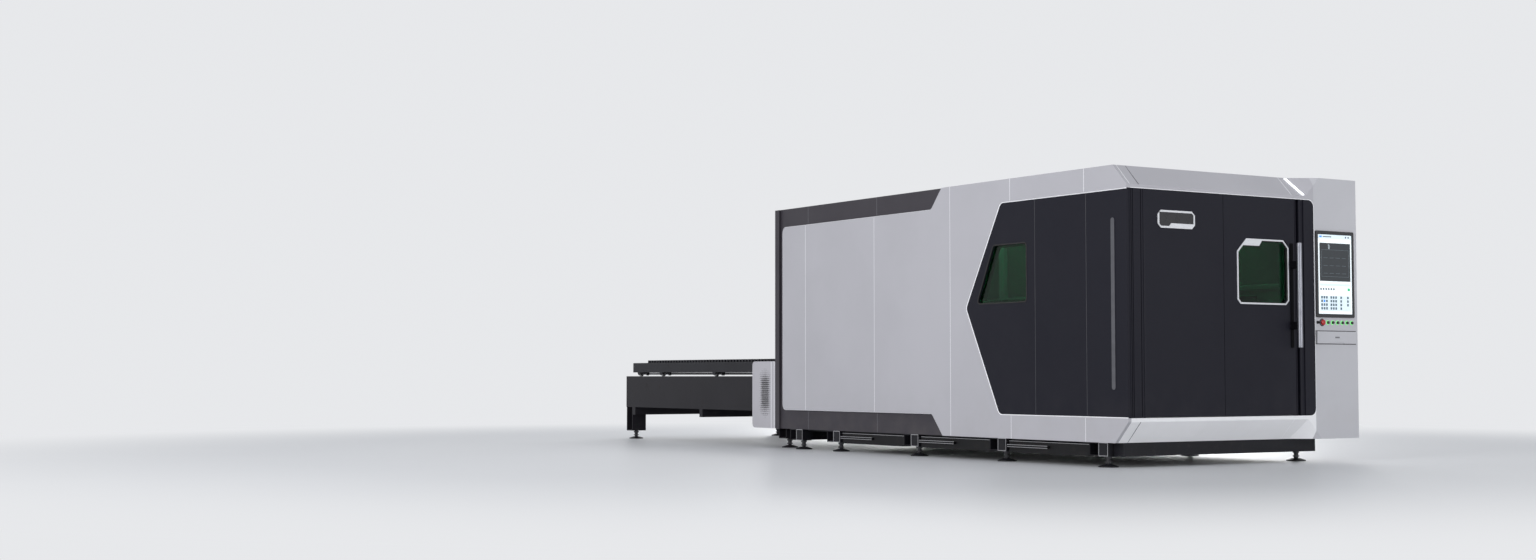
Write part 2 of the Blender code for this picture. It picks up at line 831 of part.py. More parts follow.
def hinge_axis():
    """Place of the fold axis, behind the seam between the leaves."""
    return (DOOR_SEAM, DOOR_THICK + HINGE_KNUCKLE, 0.0)


def hinge_heights():
    return [FACE_LOW + (FACE_TOP - FACE_LOW) * share for share in HINGE_SHARES]


def hinge_half(height, side, outer_edge):
    """Half of one fold hinge: a knuckle and the strap that joins it to its leaf."""
    half = HINGE_LENGTH / 2
    low, high = (height - half, height - SEAT) if side < 0 else (height + SEAT, height + half)
    knuckle = rod(HINGE_KNUCKLE, "Z", hinge_axis(), low, high, STEM_SIDES)
    xs = sorted((DOOR_SEAM, DOOR_SEAM + side * HINGE_STRAP))
    strap = block((xs[0], DOOR_THICK - outer_edge, low), (xs[1], DOOR_THICK + outer_edge, high))
    return [knuckle, strap]


def door_leaf_left():
    """Leaf on the corner post: pivot pins at its rounded edge, fold hinges at the seam."""
    right = DOOR_SEAM - DOOR_GAP / 2
    corners = [(DOOR_LEFT, 0.0, PIVOT_INSET), (right, 0.0, 0.0), (right, DOOR_THICK, 0.0),
               (DOOR_LEFT, DOOR_THICK, 0.0)]
    low = FACE_LOW + DOOR_GAP
    high = FACE_TOP - DOOR_GAP
    pivot = (DOOR_LEFT + PIVOT_INSET, PIVOT_INSET, 0.0)
    solids = [prism(rounded(corners), "Z", low, high)]
    solids.append(rod(HINGE_PIN, "Z", pivot, FACE_LOW - PIVOT_DEPTH, FACE_TOP + PIVOT_DEPTH, STEM_SIDES))
    for height in hinge_heights():
        solids += hinge_half(height, -1, STRAP_THICK)
        solids.append(rod(HINGE_PIN, "Z", hinge_axis(), height - HINGE_PIN, height + HINGE_PIN_LENGTH, STEM_SIDES))
    return piece("door_leaf_left", dark_paint(), solids, pivot=pivot)


def pane_outline(margin=0.0):
    """Door window's outline with its cut corners, moved inwards by a margin."""
    corners = chamfered(PANE_LEFT, PANE_LEFT + PANE_WIDTH, PANE_SILL, PANE_SILL + PANE_HEIGHT, PANE_CHAMFERS)
    return inset(corners, margin)


def door_leaf_right():
    """Leaf with the window and the handle; it folds on the other leaf's hinge pins."""
    left = DOOR_SEAM + DOOR_GAP / 2
    solids = [block((left, 0.0, FACE_LOW + DOOR_GAP), (DOOR_RIGHT, DOOR_THICK, FACE_TOP - DOOR_GAP))]
    cuts = [prism(pane_outline(), "Y", -OVERRUN, DOOR_THICK + OVERRUN)]
    for height in hinge_heights():
        solids += hinge_half(height, 1, STRAP_THICK)
        cuts.append(rod(bore_radius(HINGE_PIN, AXLE_PLAY, STEM_SIDES), "Z", hinge_axis(), height - OVERRUN,
                        height + HINGE_PIN_LENGTH + RUNNING, STEM_SIDES))
    return piece("door_leaf_right", dark_paint(), solids, cuts=cuts, pivot=hinge_axis())


def door_window_glass():
    """Green laser-safe pane in the right leaf."""
    pane = prism(pane_outline(SEAT), "Y", GLASS_INSET, GLASS_INSET + GLASS)
    return piece("door_window_glass", green_glass(), [pane])


def door_window_rim():
    """Bright rim round the pane, with the slanted tab at its top left."""
    left = PANE_LEFT
    high = PANE_SILL + PANE_HEIGHT
    low_left, low_right, top_right, top_left = PANE_CHAMFERS
    right = left + PANE_WIDTH
    tab = high - TAB_DEPTH
    inner = [(left + low_left, PANE_SILL), (right - low_right, PANE_SILL), (right, PANE_SILL + low_right),
             (right, high - top_right), (right - top_right, high), (left + TAB_LENGTH + TAB_SLANT, high),
             (left + TAB_LENGTH, tab), (left + top_left - TAB_DEPTH, tab), (left, high - top_left),
             (left, PANE_SILL + low_left)]
    ring = prism(pane_outline(-RIM_WIDTH), "Y", -RIM_THICK, -SEAT)
    opening = prism(inner, "Y", -RIM_THICK - OVERRUN, OVERRUN)
    return piece("door_window_rim", white_metal(), [ring], cuts=[opening])


def handle_parts():
    """Upright tube handle on two round posts."""
    centre = (HANDLE_X, -HANDLE_STANDOFF, 0.0)
    top = HANDLE_LOW + HANDLE_LENGTH
    ease = HANDLE_RADIUS * HANDLE_EASE_SHARE
    profile = ((HANDLE_RADIUS - ease, HANDLE_LOW), (HANDLE_RADIUS, HANDLE_LOW + ease), (HANDLE_RADIUS, top - ease),
               (HANDLE_RADIUS - ease, top))
    piece("door_handle", white_metal(), [turned(profile, "Z", centre, TUBE_SIDES)], smooth_angle=SMOOTH)
    names = ("handle_post_lower", "handle_post_upper")
    for name, share in zip(names, HANDLE_POST_SHARES):
        place = (HANDLE_X, 0.0, HANDLE_LOW + HANDLE_LENGTH * share)
        start = HANDLE_RADIUS - HANDLE_STANDOFF + SEAT
        profile = ((HANDLE_POST_RADIUS, start), (HANDLE_POST_RADIUS, -POST_FLANGE), (POST_FOOT_RADIUS, -POST_FLANGE),
                   (POST_FOOT_RADIUS, -SEAT))
        piece(name, black_plastic(), [turned(profile, "Y", place, TUBE_SIDES)], smooth_angle=SMOOTH)


def badge_plate():
    """Plain bordered plate with a stepped field, left bare."""
    right = PLATE_LEFT + PLATE_WIDTH
    top = PLATE_SILL + PLATE_HEIGHT
    outline = chamfered(PLATE_LEFT, right, PLATE_SILL, top, (PLATE_CHAMFER,) * 4)
    step = PLATE_LEFT + PLATE_STEP
    low = PLATE_SILL + PLATE_BORDER
    high = top - PLATE_BORDER
    field = [(PLATE_LEFT + PLATE_CHAMFER, low), (step, low), (step + PLATE_STEP_RISE, low + PLATE_STEP_RISE),
             (right - PLATE_BORDER, low + PLATE_STEP_RISE), (right - PLATE_BORDER, high - PLATE_BORDER),
             (right - PLATE_CHAMFER, high), (PLATE_LEFT + PLATE_BORDER, high),
             (PLATE_LEFT + PLATE_BORDER, low + PLATE_BORDER)]
    plate = prism(outline, "Y", -PLATE_THICK, -SEAT)
    recess = prism(field, "Y", -PLATE_THICK - OVERRUN, PLATE_RECESS - PLATE_THICK)
    return piece("badge_plate", white_metal(), [plate], cuts=[recess])


def door_jamb():
    """Dark jamb at the closing side, with the channel and the bright-edged rib."""
    left = DOOR_RIGHT + DOOR_SWEEP
    corners = [(left, FACE_LOW + SEAT, 0.0), (CONSOLE_LEFT - 2 * SEAT, FACE_LOW + SEAT, FACE_ROUND),
               (CONSOLE_LEFT - 2 * SEAT, FACE_TOP - SEAT, FACE_ROUND), (left, FACE_TOP - SEAT, 0.0)]
    jamb = prism(rounded(corners), "Y", 0.0, JAMB_THICK)
    cuts = []
    for start, depth in ((left + GROOVE_WIDTH, CHANNEL_DEPTH), (left + CHANNEL_EDGE, GROOVE_DEPTH)):
        cuts.append(block((start, -OVERRUN, SKIRT), (start + CHANNEL_WIDTH, depth, HEIGHT)))
    return piece("door_jamb", dark_paint(), [jamb], cuts=cuts)


# Console
def control_bore(x, travel):
    """Bore in the cabinet's face for one control's stem."""
    place = (x, 0.0, CONTROL_HEIGHT)
    return rod(bore_radius(STEM_RADIUS, AXLE_PLAY, STEM_SIDES), "Y", place, -OVERRUN, STEM_LENGTH + travel + RUNNING, STEM_SIDES)


def button_places():
    return [BUTTON_FIRST_X + BUTTON_PITCH * index for index in range(BUTTON_COUNT)]


def console_cabinet():
    """Light cabinet at the right of the door, with the bores and the drawer slot."""
    body = block((CONSOLE_LEFT, 0.0, SKIRT), (CONSOLE_RIGHT, CONSOLE_DEPTH, HEIGHT))
    left, right, low, high, rear = tray_sizes()
    slot = block((left - TRAY_PLAY, -OVERRUN, low - TRAY_PLAY),
                 (right + TRAY_PLAY, rear + RUNNING, high + TRAY_PLAY))
    cuts = [slope_wedge(FACE_TOP + LIP, HEIGHT), slope_wedge(FACE_LOW - LIP, SKIRT), slot]
    cuts += [control_bore(x, BUTTON_TRAVEL) for x in button_places()]
    cuts += [control_bore(STOP_X, STOP_TRAVEL), control_bore(KEY_X, 0.0)]
    return piece("console_cabinet", light_paint(), [body], cuts=cuts)


def monitor():
    """Black bezel with the screen in its opening."""
    right = BEZEL_LEFT + BEZEL_WIDTH
    top = BEZEL_SILL + BEZEL_HEIGHT
    corners = [(BEZEL_LEFT, BEZEL_SILL, BEZEL_ROUND), (right, BEZEL_SILL, BEZEL_ROUND), (right, top, BEZEL_ROUND),
               (BEZEL_LEFT, top, BEZEL_ROUND)]
    opening = [(x, z) for x, z, _ in inset(corners, SCREEN_MARGIN)]
    bezel = prism(rounded(corners), "Y", -BEZEL_THICK, -SEAT)
    hole = prism(opening, "Y", -BEZEL_THICK - OVERRUN, OVERRUN)
    piece("monitor_bezel", black_plastic(), [bezel], cuts=[hole])
    screen = prism(inset(opening, SEAT), "Y", SCREEN_RECESS - BEZEL_THICK, -SEAT)
    piece("monitor_screen", screen_face(), [screen])


def push_button(name, x, material):
    """Round cap on a stem; the cap stands off the cabinet by its travel."""
    rear = -BUTTON_TRAVEL - BUTTON_LIFT
    front = rear - BUTTON_CAP
    ease = BUTTON_CAP * BUTTON_EASE_SHARE
    profile = ((BUTTON_RADIUS - ease, front), (BUTTON_RADIUS, front + ease), (BUTTON_RADIUS, rear),
               (STEM_RADIUS, rear), (STEM_RADIUS, STEM_LENGTH))
    place = (x, 0.0, CONTROL_HEIGHT)
    piece(name, material, [turned(profile, "Y", place, STEM_SIDES)], pivot=place, smooth_angle=SMOOTH)


def emergency_stop():
    """Red mushroom button."""
    rear = -STOP_TRAVEL - BUTTON_LIFT
    front = rear - STOP_CAP
    third = STOP_CAP / 3
    profile = ((STOP_RADIUS * STOP_DOME_SHARE, front), (STOP_RADIUS, front + third), (STOP_RADIUS, rear - third),
               (STEM_RADIUS, rear), (STEM_RADIUS, STEM_LENGTH))
    place = (STOP_X, 0.0, CONTROL_HEIGHT)
    cap = turned(profile, "Y", place, TUBE_SIDES)
    piece("emergency_stop", red_plastic(), [cap], pivot=place, smooth_angle=SMOOTH)


def key_switch():
    """Turning switch with its key."""
    rear = -BUTTON_LIFT
    front = rear - KEY_COLLAR
    profile = ((BUTTON_RADIUS, front), (BUTTON_RADIUS, rear), (STEM_RADIUS, rear), (STEM_RADIUS, STEM_LENGTH))
    place = (KEY_X, 0.0, CONTROL_HEIGHT)
    low = (KEY_X - KEY_THICK / 2, front - KEY_LENGTH, CONTROL_HEIGHT - KEY_WIDTH / 2)
    high = (KEY_X + KEY_THICK / 2, front + KEY_COLLAR / 2, CONTROL_HEIGHT + KEY_WIDTH / 2)
    solids = [turned(profile, "Y", place, STEM_SIDES), block(low, high)]
    piece("key_switch", black_plastic(), solids, pivot=place)


def tray_sizes():
    """Left, right, low, high and rear of the keyboard tray inside the cabinet."""
    left = TRAY_LEFT + TRAY_MARGIN
    right = TRAY_LEFT + TRAY_WIDTH - TRAY_MARGIN
    low = TRAY_SILL + TRAY_MARGIN
    high = TRAY_SILL + TRAY_HEIGHT - TRAY_MARGIN
    return left, right, low, high, TRAY_DEPTH


def keyboard_drawer():
    """Open tray behind a front panel with a finger hollow under its edge."""
    left, right, low, high, rear = tray_sizes()
    front = block((TRAY_LEFT, -TRAY_FRONT, TRAY_SILL),
                  (TRAY_LEFT + TRAY_WIDTH, -SEAT, TRAY_SILL + TRAY_HEIGHT))
    tray = block((left, -TRAY_FRONT / 2, low), (right, rear, high))
    pocket = block((left + TRAY_WALL, TRAY_WALL, low + TRAY_WALL), (right - TRAY_WALL, rear - TRAY_WALL, HEIGHT))
    middle = TRAY_LEFT + TRAY_WIDTH / 2
    reach = TRAY_WIDTH * GRIP_WIDTH_SHARE / 2
    grip = block((middle - reach, -TRAY_FRONT - OVERRUN, TRAY_SILL - OVERRUN),
                 (middle + reach, GRIP_DEPTH - TRAY_FRONT, TRAY_SILL + GRIP_HEIGHT))
    piece("keyboard_drawer", light_paint(), [front, tray], cuts=[pocket, grip], pivot=(middle, 0.0, low))


# Base frame and slag drawers
def levelling_foot(x, y, top):
    """Round pad, neck and threaded stem that stands on the floor and ends inside the leg."""
    profile = ((FOOT_RADIUS, 0.0), (FOOT_RADIUS, FOOT_EDGE), (FOOT_NECK, FOOT_RISE), (STEM, FOOT_RISE),
               (STEM, top + TUBE_WALL))
    return turned(profile, "Z", (x, y, 0.0), FOOT_SIDES)


def slag_bay(index):
    """Front and rear of the clear bay between two rows of legs."""
    return BASE_ROWS[index] + TUBE * 3 / 2, BASE_ROWS[index + 1] - TUBE / 2


def slag_levels():
    """Bottom and top of a slag drawer's flange, under the long tie."""
    top = BASE_TOP - TIE_THICK - RUNNING
    return top - SLAG_WALL, top


def base_frame():
    """Welded square tubes with open ends beside each leg, ties, drawer runners and levelling feet."""
    low = BASE_TOP - TUBE
    weld = TUBE_WALL / 2
    middle = (BASE_LEFT + BASE_RIGHT) / 2
    solids = []
    for row in BASE_ROWS:
        solids.append(pipe((BASE_LEFT, row + TUBE / 2, low), (BASE_RIGHT, row + TUBE * 3 / 2, BASE_TOP),
                           TUBE_WALL, "X"))
        leg = block((BASE_LEFT, row - TUBE / 2, low), (BASE_LEFT + TUBE, row + TUBE / 2 + weld, BASE_TOP))
        foot = levelling_foot(BASE_LEFT + TUBE / 2, row, low)
        for solid in (leg, foot):
            solids += [solid, mirrored(solid, middle)]
    front = BASE_ROWS[0] - TUBE / 2
    rear = BASE_ROWS[-1] + TUBE * 3 / 2
    solids.append(block((BASE_LEFT + TIE_INSET, front - TUBE, low), (BASE_RIGHT, front + weld, BASE_TOP)))
    solids.append(block((BASE_RIGHT - TUBE, front, low), (BASE_RIGHT, rear, BASE_TOP)))
    tie_left = BASE_LEFT + TIE_INSET
    solids.append(block((tie_left, front, BASE_TOP - TIE_THICK), (tie_left + TIE_WIDTH, rear, BASE_TOP)))
    flange_low, _ = slag_levels()
    for index in range(SLAG_COUNT):
        bay_front, bay_rear = slag_bay(index)
        for start, end in ((bay_front - weld, bay_front + RUNNER), (bay_rear - RUNNER, bay_rear + weld)):
            solids.append(block((BASE_LEFT, start, flange_low - SEAT - RUNNER_THICK),
                                (BASE_RIGHT - TUBE + weld, end, flange_low - SEAT)))
    return piece("base_frame", black_paint(), solids)


def slag_drawer(index):
    """Open scrap tray that hangs by its flanges on the runners, with a folded grip at the rear half."""
    bay_front, bay_rear = slag_bay(index)
    flange_low, top = slag_levels()
    front = BASE_LEFT + SLAG_INSET
    rear = front + SLAG_LENGTH
    low = top - SLAG_DEPTH
    near = bay_front + RUNNER + RUNNING
    far = bay_rear - RUNNER - RUNNING
    flange = block((front, bay_front + RUNNING, flange_low), (rear, bay_rear - RUNNING, top))
    tray = block((front, near, low), (rear, far, top))
    middle = (low + flange_low) / 2
    lip_start = near + (far - near) * (1 - SLAG_LIP_SHARE)
    lip = block((front - SLAG_LIP, lip_start, middle), (front + SLAG_WALL, far, middle + SLAG_LIP_HEIGHT))
    pocket = block((front + SLAG_WALL, near + SLAG_WALL, low + SLAG_WALL),
                   (rear - SLAG_WALL, far - SLAG_WALL, top + OVERRUN))
    name = "slag_drawer_" + str(index + 1)
    return piece(name, border_paint(), [tray, flange, lip], cuts=[pocket], pivot=(front, near, low))


# Exchange table
def table_leg(front):
    """Open C-shaped leg with a foot plate and a slanted brace, and its levelling foot."""
    left = TABLE_LEFT
    right = left + LEG_LENGTH
    rear = front + LEG_WIDTH
    top = TABLE_LOW + LEDGE_THICK / 2
    outline = [(left, front), (right, front), (right, rear), (left, rear), (left, rear - LEG_WALL),
               (right - LEG_WALL, rear - LEG_WALL), (right - LEG_WALL, front + LEG_WALL), (left, front + LEG_WALL)]
    plate = block((left, front, LEG_LOW), (right, rear, LEG_LOW + LEG_WALL))
    inner = right - LEG_WALL / 2
    brace = hull([(x, y, z) for x in (inner - BRACE, inner)
                  for y, z in ((front + LEG_WALL / 2, top - BRACE), (front + LEG_WALL / 2, top),
                               (rear - LEG_WALL / 2, top - LEG_WIDTH), (rear - LEG_WALL / 2, top - LEG_WIDTH + BRACE))])
    foot = levelling_foot(left + LEG_LENGTH / 2, front + LEG_WIDTH / 2, LEG_LOW)
    return [prism(outline, "Z", LEG_LOW, top), plate, brace, foot]


def channel_outline():
    """C section whose two ledges are the rails of the upper and the lower pallet."""
    left = TABLE_LEFT
    web = left + CHANNEL_WEB
    tip = left + LEDGE
    return [(left, TABLE_LOW), (tip, TABLE_LOW), (tip, LOWER_RAIL), (web, LOWER_RAIL),
            (web, RAIL_TOP - LEDGE_THICK), (tip, RAIL_TOP - LEDGE_THICK), (tip, RAIL_TOP), (left, RAIL_TOP)]


def table_frame():
    """Two channels with rails at both levels, cross members, end plate and four open legs."""
    front = HOUSE_LENGTH - TABLE_INTO_HOUSE
    right = 2 * TABLE_MIDDLE - TABLE_LEFT
    solids = both_sides(prism(channel_outline(), "Y", front, TABLE_END))
    for share in CROSS_SHARES:
        start = HOUSE_LENGTH + SEAT + (TABLE_LENGTH - CROSS_WIDTH) * share
        solids.append(block((TABLE_LEFT, start, TABLE_LOW - CROSS_HEIGHT),
                            (right, start + CROSS_WIDTH, TABLE_LOW + LEDGE_THICK / 2)))
    solids.append(block((TABLE_LEFT, TABLE_END - END_PLATE, RAIL_TOP - END_PLATE_HEIGHT),
                        (right, TABLE_END, RAIL_TOP)))
    for start in (HOUSE_LENGTH + RUNNING, TABLE_END - LEG_REAR_INSET - LEG_WIDTH):
        for solid in table_leg(start):
            solids += both_sides(solid)
    return piece("table_frame", black_paint(), solids)


def drive_covers():
    """Light folded cover over the pallet drive on each side, open at its back and vented."""
    front = HOUSE_LENGTH + SEAT
    rear = HOUSE_LENGTH + COVER_LENGTH
    high = COVER_LOW + COVER_HEIGHT
    corners = [(front, COVER_LOW, 0.0), (rear, COVER_LOW, COVER_ROUND), (rear, high, COVER_ROUND),
               (front, high, 0.0)]
    shell = prism(rounded(corners), "X", COVER_LEFT, TABLE_LEFT - SEAT)
    cuts = [prism(rounded(inset(corners, COVER_WALL)), "X", COVER_LEFT + COVER_WALL, TABLE_LEFT + OVERRUN)]
    for row in range(VENT_ROWS):
        for column in range(VENT_COLUMNS):
            y = front + COVER_LENGTH * VENT_SHARE + VENT_PITCH * (column + row % 2 / 2)
            z = COVER_LOW + COVER_HEIGHT / 2 + VENT_PITCH * (row - VENT_ROWS / 2)
            cuts.append(rod(VENT_RADIUS, "X", (0.0, y, z), COVER_LEFT - OVERRUN, COVER_LEFT + COVER_WALL + SEAT,
                            VENT_SIDES))
    piece("drive_cover_left", light_paint(), [shell], cuts=cuts)
    piece("drive_cover_right", light_paint(), [mirrored(shell)], cuts=[mirrored(cut) for cut in cuts])


# Pallets
def slat(y, low):
    """Serrated support slat across the pallet, let into both side beams."""
    left = PALLET_SIDE + PALLET_CHANNEL - PALLET_SHEET / 2
    span = 2 * (TABLE_MIDDLE - left)
    tip = low + SLAT_TIP
    outline = [(left, low + SLAT_LOW), (left + span, low + SLAT_LOW), (left + span, tip - TOOTH_DEPTH)]
    for tooth in reversed(range(SLAT_TEETH)):
        outline.append((left + span * (tooth + 0.5) / SLAT_TEETH, tip))
        outline.append((left + span * tooth / SLAT_TEETH, tip - TOOTH_DEPTH))
    return prism(outline, "Y", y - SLAT_THICK / 2, y + SLAT_THICK / 2)


def side_beam(front, low):
    """Pallet side beam: a folded channel that opens downwards over the wheels."""
    left = PALLET_SIDE
    right = left + PALLET_CHANNEL
    high = low + PALLET_BEAM
    sheet = PALLET_SHEET
    outline = [(left, low), (left + sheet, low), (left + sheet, high - sheet), (right - sheet, high - sheet),
               (right - sheet, low), (right, low), (right, high), (left, high)]
    return prism(outline, "Y", front, front + PALLET_LENGTH)


def axle_places(front):
    return [front + PALLET_LENGTH * share for share in AXLE_SHARES]


def pallet(name, front, rail):
    """Pallet frame with all its slats, and the ears that its axles turn in."""
    low = rail + PALLET_RISE
    high = low + PALLET_BEAM
    axle = rail + WHEEL_RADIUS + SEAT
    left = PALLET_SIDE + PALLET_SHEET / 2
    right = 2 * TABLE_MIDDLE - left
    inner = PALLET_SIDE + PALLET_CHANNEL
    solids = both_sides(side_beam(front, low))
    cuts = []
    for y in axle_places(front):
        ear = block((inner - PALLET_SHEET, y - EAR_LENGTH / 2, axle - EAR_BELOW),
                    (inner, y + EAR_LENGTH / 2, low + PALLET_SHEET))
        bore = rod(bore_radius(AXLE_RADIUS, AXLE_PLAY, WHEEL_SIDES), "X", (0.0, y, axle), inner - PALLET_CROSS,
                   inner + PALLET_CROSS, WHEEL_SIDES)
        solids += both_sides(ear)
        cuts += both_sides(bore)
    for share in (0, 1):
        start = front + (PALLET_LENGTH - PALLET_CROSS) * share
        solids.append(block((left, start, high - PALLET_CROSS_DEPTH), (right, start + PALLET_CROSS, high)))
    for share in SLAT_BEARER_SHARES:
        start = front + PALLET_LENGTH * share
        solids.append(block((inner - PALLET_SHEET / 2, start, high - PALLET_CROSS_DEPTH),
                            (2 * TABLE_MIDDLE - inner + PALLET_SHEET / 2, start + PALLET_CROSS,
                             low + SLAT_LOW + PALLET_SHEET)))
    for index in range(SLAT_COUNT):
        solids.append(slat(front + SLAT_FIRST + SLAT_SPAN * index / (SLAT_COUNT - 1), low))
    return piece(name, black_paint(), solids, cuts=cuts, pivot=(TABLE_MIDDLE, front, low))


def wheelsets(prefix, front, rail):
    """Axles with a wheel at each end, standing on the rails under a pallet's beams."""
    outer = PALLET_SIDE + PALLET_SHEET + WHEEL_INSET
    inner = outer + WHEEL_WIDTH
    far_inner = 2 * TABLE_MIDDLE - inner
    far_outer = 2 * TABLE_MIDDLE - outer
    profile = ((WHEEL_RADIUS, outer), (WHEEL_RADIUS, inner), (AXLE_RADIUS, inner), (AXLE_RADIUS, far_inner),
               (WHEEL_RADIUS, far_inner), (WHEEL_RADIUS, far_outer))
    for index, y in enumerate(axle_places(front)):
        place = (0.0, y, rail + WHEEL_RADIUS + SEAT)
        shaft = turned(profile, "X", place, WHEEL_SIDES)
        piece(prefix + "_wheels_" + str(index + 1), bare_steel(), [shaft], pivot=place, smooth_angle=SMOOTH)


# Cutting mechanism
def machine_bed():
    """Welded bed: side webs with both pallet rails, beams for the guides, cross members."""
    left = BED_LEFT
    web = left + BED_WEB
    beam = left + BED_BEAM_WIDTH
    tip = TABLE_LEFT + LEDGE
    front = BED_FRONT
    rear = HOUSE_LENGTH - TABLE_INTO_HOUSE - SEAT
    outline = [(left, SKIRT), (web, SKIRT), (web, TABLE_LOW), (tip, TABLE_LOW), (tip, LOWER_RAIL),
               (web, LOWER_RAIL), (web, RAIL_TOP - LEDGE_THICK), (tip, RAIL_TOP - LEDGE_THICK), (tip, RAIL_TOP),
               (web, RAIL_TOP), (web, BED_TOP - BED_BEAM), (beam, BED_TOP - BED_BEAM), (beam, BED_TOP),
               (left, BED_TOP)]
    solids = both_sides(prism(outline, "Y", front, rear))
    far = 2 * TABLE_MIDDLE - web + TUBE_WALL
    for share in BED_CROSS_SHARES:
        start = front + (rear - front) * share
        solids.append(block((web - TUBE_WALL, start, SKIRT), (far, start + BED_CROSS, SKIRT + BED_CROSS)))
    return piece("machine_bed", black_paint(), solids)


def guide_rails():
    """Ground linear rails with waisted sides, one on each beam of the bed."""
    low = BED_TOP + SEAT
    high = BED_TOP + GUIDE_HEIGHT
    half = GUIDE_WIDTH / 2
    waist = half * GUIDE_WAIST_SHARE
    step = GUIDE_HEIGHT / 4
    outline = [(GUIDE_X - half, low), (GUIDE_X + half, low), (GUIDE_X + half, low + step),
               (GUIDE_X + waist, low + 2 * step), (GUIDE_X + half, high - step), (GUIDE_X + half, high),
               (GUIDE_X - half, high), (GUIDE_X - half, high - step), (GUIDE_X - waist, low + 2 * step),
               (GUIDE_X - half, low + step)]
    rear = HOUSE_LENGTH - TABLE_INTO_HOUSE - GUIDE_END
    rail = prism(outline, "Y", BED_FRONT + GUIDE_END, rear)
    piece("guide_rail_left", bare_steel(), [rail])
    piece("guide_rail_right", bare_steel(), [mirrored(rail)])


def gantry_shoe():
    """Saddle that wraps the head of one guide rail."""
    bottom = BED_TOP + GUIDE_HEIGHT - SHOE_WRAP
    roof = BED_TOP + GUIDE_HEIGHT + SEAT
    top = GANTRY_LOW + GANTRY_CHAMFER
    slot = GUIDE_WIDTH / 2 + SHOE_PLAY
    half = SHOE_WIDTH / 2
    outline = [(GUIDE_X - half, bottom), (GUIDE_X - slot, bottom), (GUIDE_X - slot, roof), (GUIDE_X + slot, roof),
               (GUIDE_X + slot, bottom), (GUIDE_X + half, bottom), (GUIDE_X + half, top), (GUIDE_X - half, top)]
    return prism(outline, "Y", GANTRY_Y - SHOE_LENGTH / 2, GANTRY_Y + SHOE_LENGTH / 2)


def gantry_beam():
    """Box beam across the bed on two saddles, with two carriage rails on its front face."""
    front = GANTRY_Y - GANTRY_DEPTH / 2
    rear = GANTRY_Y + GANTRY_DEPTH / 2
    high = GANTRY_LOW + GANTRY_HEIGHT
    corners = [(front, GANTRY_LOW, 0.0), (rear, GANTRY_LOW, GANTRY_CHAMFER), (rear, high, GANTRY_CHAMFER),
               (front, high, 0.0)]
    left = BED_LEFT + RUNNING
    right = 2 * TABLE_MIDDLE - left
    solids = [prism(rounded(corners, 1), "X", left, right)] + both_sides(gantry_shoe())
    for share in CARRIAGE_RAIL_SHARES:
        z = GANTRY_LOW + GANTRY_HEIGHT * share
        solids.append(block((left + SHOE_WIDTH, front - CARRIAGE_RAIL, z - CARRIAGE_RAIL),
                            (right - SHOE_WIDTH, front + CARRIAGE_RAIL, z + CARRIAGE_RAIL)))
    return piece("gantry_beam", dark_paint(), solids, pivot=(TABLE_MIDDLE, GANTRY_Y, GANTRY_LOW))


def head_carriage():
    """Ribbed plate that runs along the gantry's front rails."""
    rear = GANTRY_Y - GANTRY_DEPTH / 2 - CARRIAGE_RAIL - SEAT
    front = rear - CARRIAGE_DEPTH
    low = GANTRY_LOW - CARRIAGE_DROP
    left = TABLE_MIDDLE - CARRIAGE_WIDTH / 2
    right = TABLE_MIDDLE + CARRIAGE_WIDTH / 2
    corners = [(left, low, CARRIAGE_ROUND), (right, low, CARRIAGE_ROUND),
               (right, low + CARRIAGE_HEIGHT, CARRIAGE_ROUND), (left, low + CARRIAGE_HEIGHT, CARRIAGE_ROUND)]
    plate = prism(rounded(corners), "Y", front, rear)
    return piece("head_carriage", light_paint(), [plate], pivot=(TABLE_MIDDLE, rear, low))


def cutting_head():
    """Head body on the carriage with the turned collimator and nozzle below it."""
    rear = GANTRY_Y - GANTRY_DEPTH / 2 - CARRIAGE_RAIL - CARRIAGE_DEPTH - 2 * SEAT
    front = rear - HEAD_BODY
    middle = (front + rear) / 2
    body_low = NOZZLE_TIP + NOZZLE_LENGTH * NOZZLE_BODY_SHARE
    corners = [(TABLE_MIDDLE - HEAD_WIDTH / 2, front, HEAD_ROUND), (TABLE_MIDDLE + HEAD_WIDTH / 2, front, HEAD_ROUND),
               (TABLE_MIDDLE + HEAD_WIDTH / 2, rear, 0.0), (TABLE_MIDDLE - HEAD_WIDTH / 2, rear, 0.0)]
    body = prism(rounded(corners), "Z", body_low, body_low + HEAD_HEIGHT)
    profile = [(NOZZLE_RADIUS * radius, NOZZLE_TIP + NOZZLE_LENGTH * height) for radius, height in NOZZLE_SHARES]
    nozzle = turned(profile, "Z", (TABLE_MIDDLE, middle, 0.0), NOZZLE_SIDES)
    return piece("cutting_head", bare_steel(), [body, nozzle], pivot=(TABLE_MIDDLE, middle, NOZZLE_TIP))


# The whole machine
def clear_scene():
    for thing in list(bpy.data.objects):
        bpy.data.objects.remove(thing, do_unlink=True)


def build_enclosure():
    for make in (left_cladding, left_border_frame, left_window_panel, side_window_glass, side_light_strip,
                 right_side_wall, roof_panel, rear_wall, corner_post, fascia_light_bar):
        make()
    fascia("fascia_top", FACE_TOP, HEIGHT, 1)
    fascia("fascia_bottom", FACE_LOW, SKIRT, -1)


def build_door():
    for make in (door_leaf_left, door_leaf_right, door_window_glass, door_window_rim, handle_parts, badge_plate,
                 door_jamb):
        make()


def build_console():
    for make in (console_cabinet, monitor, keyboard_drawer, emergency_stop, key_switch):
        make()
    for index, x in enumerate(button_places()):
        push_button("push_button_" + str(index + 1), x, green_plastic())


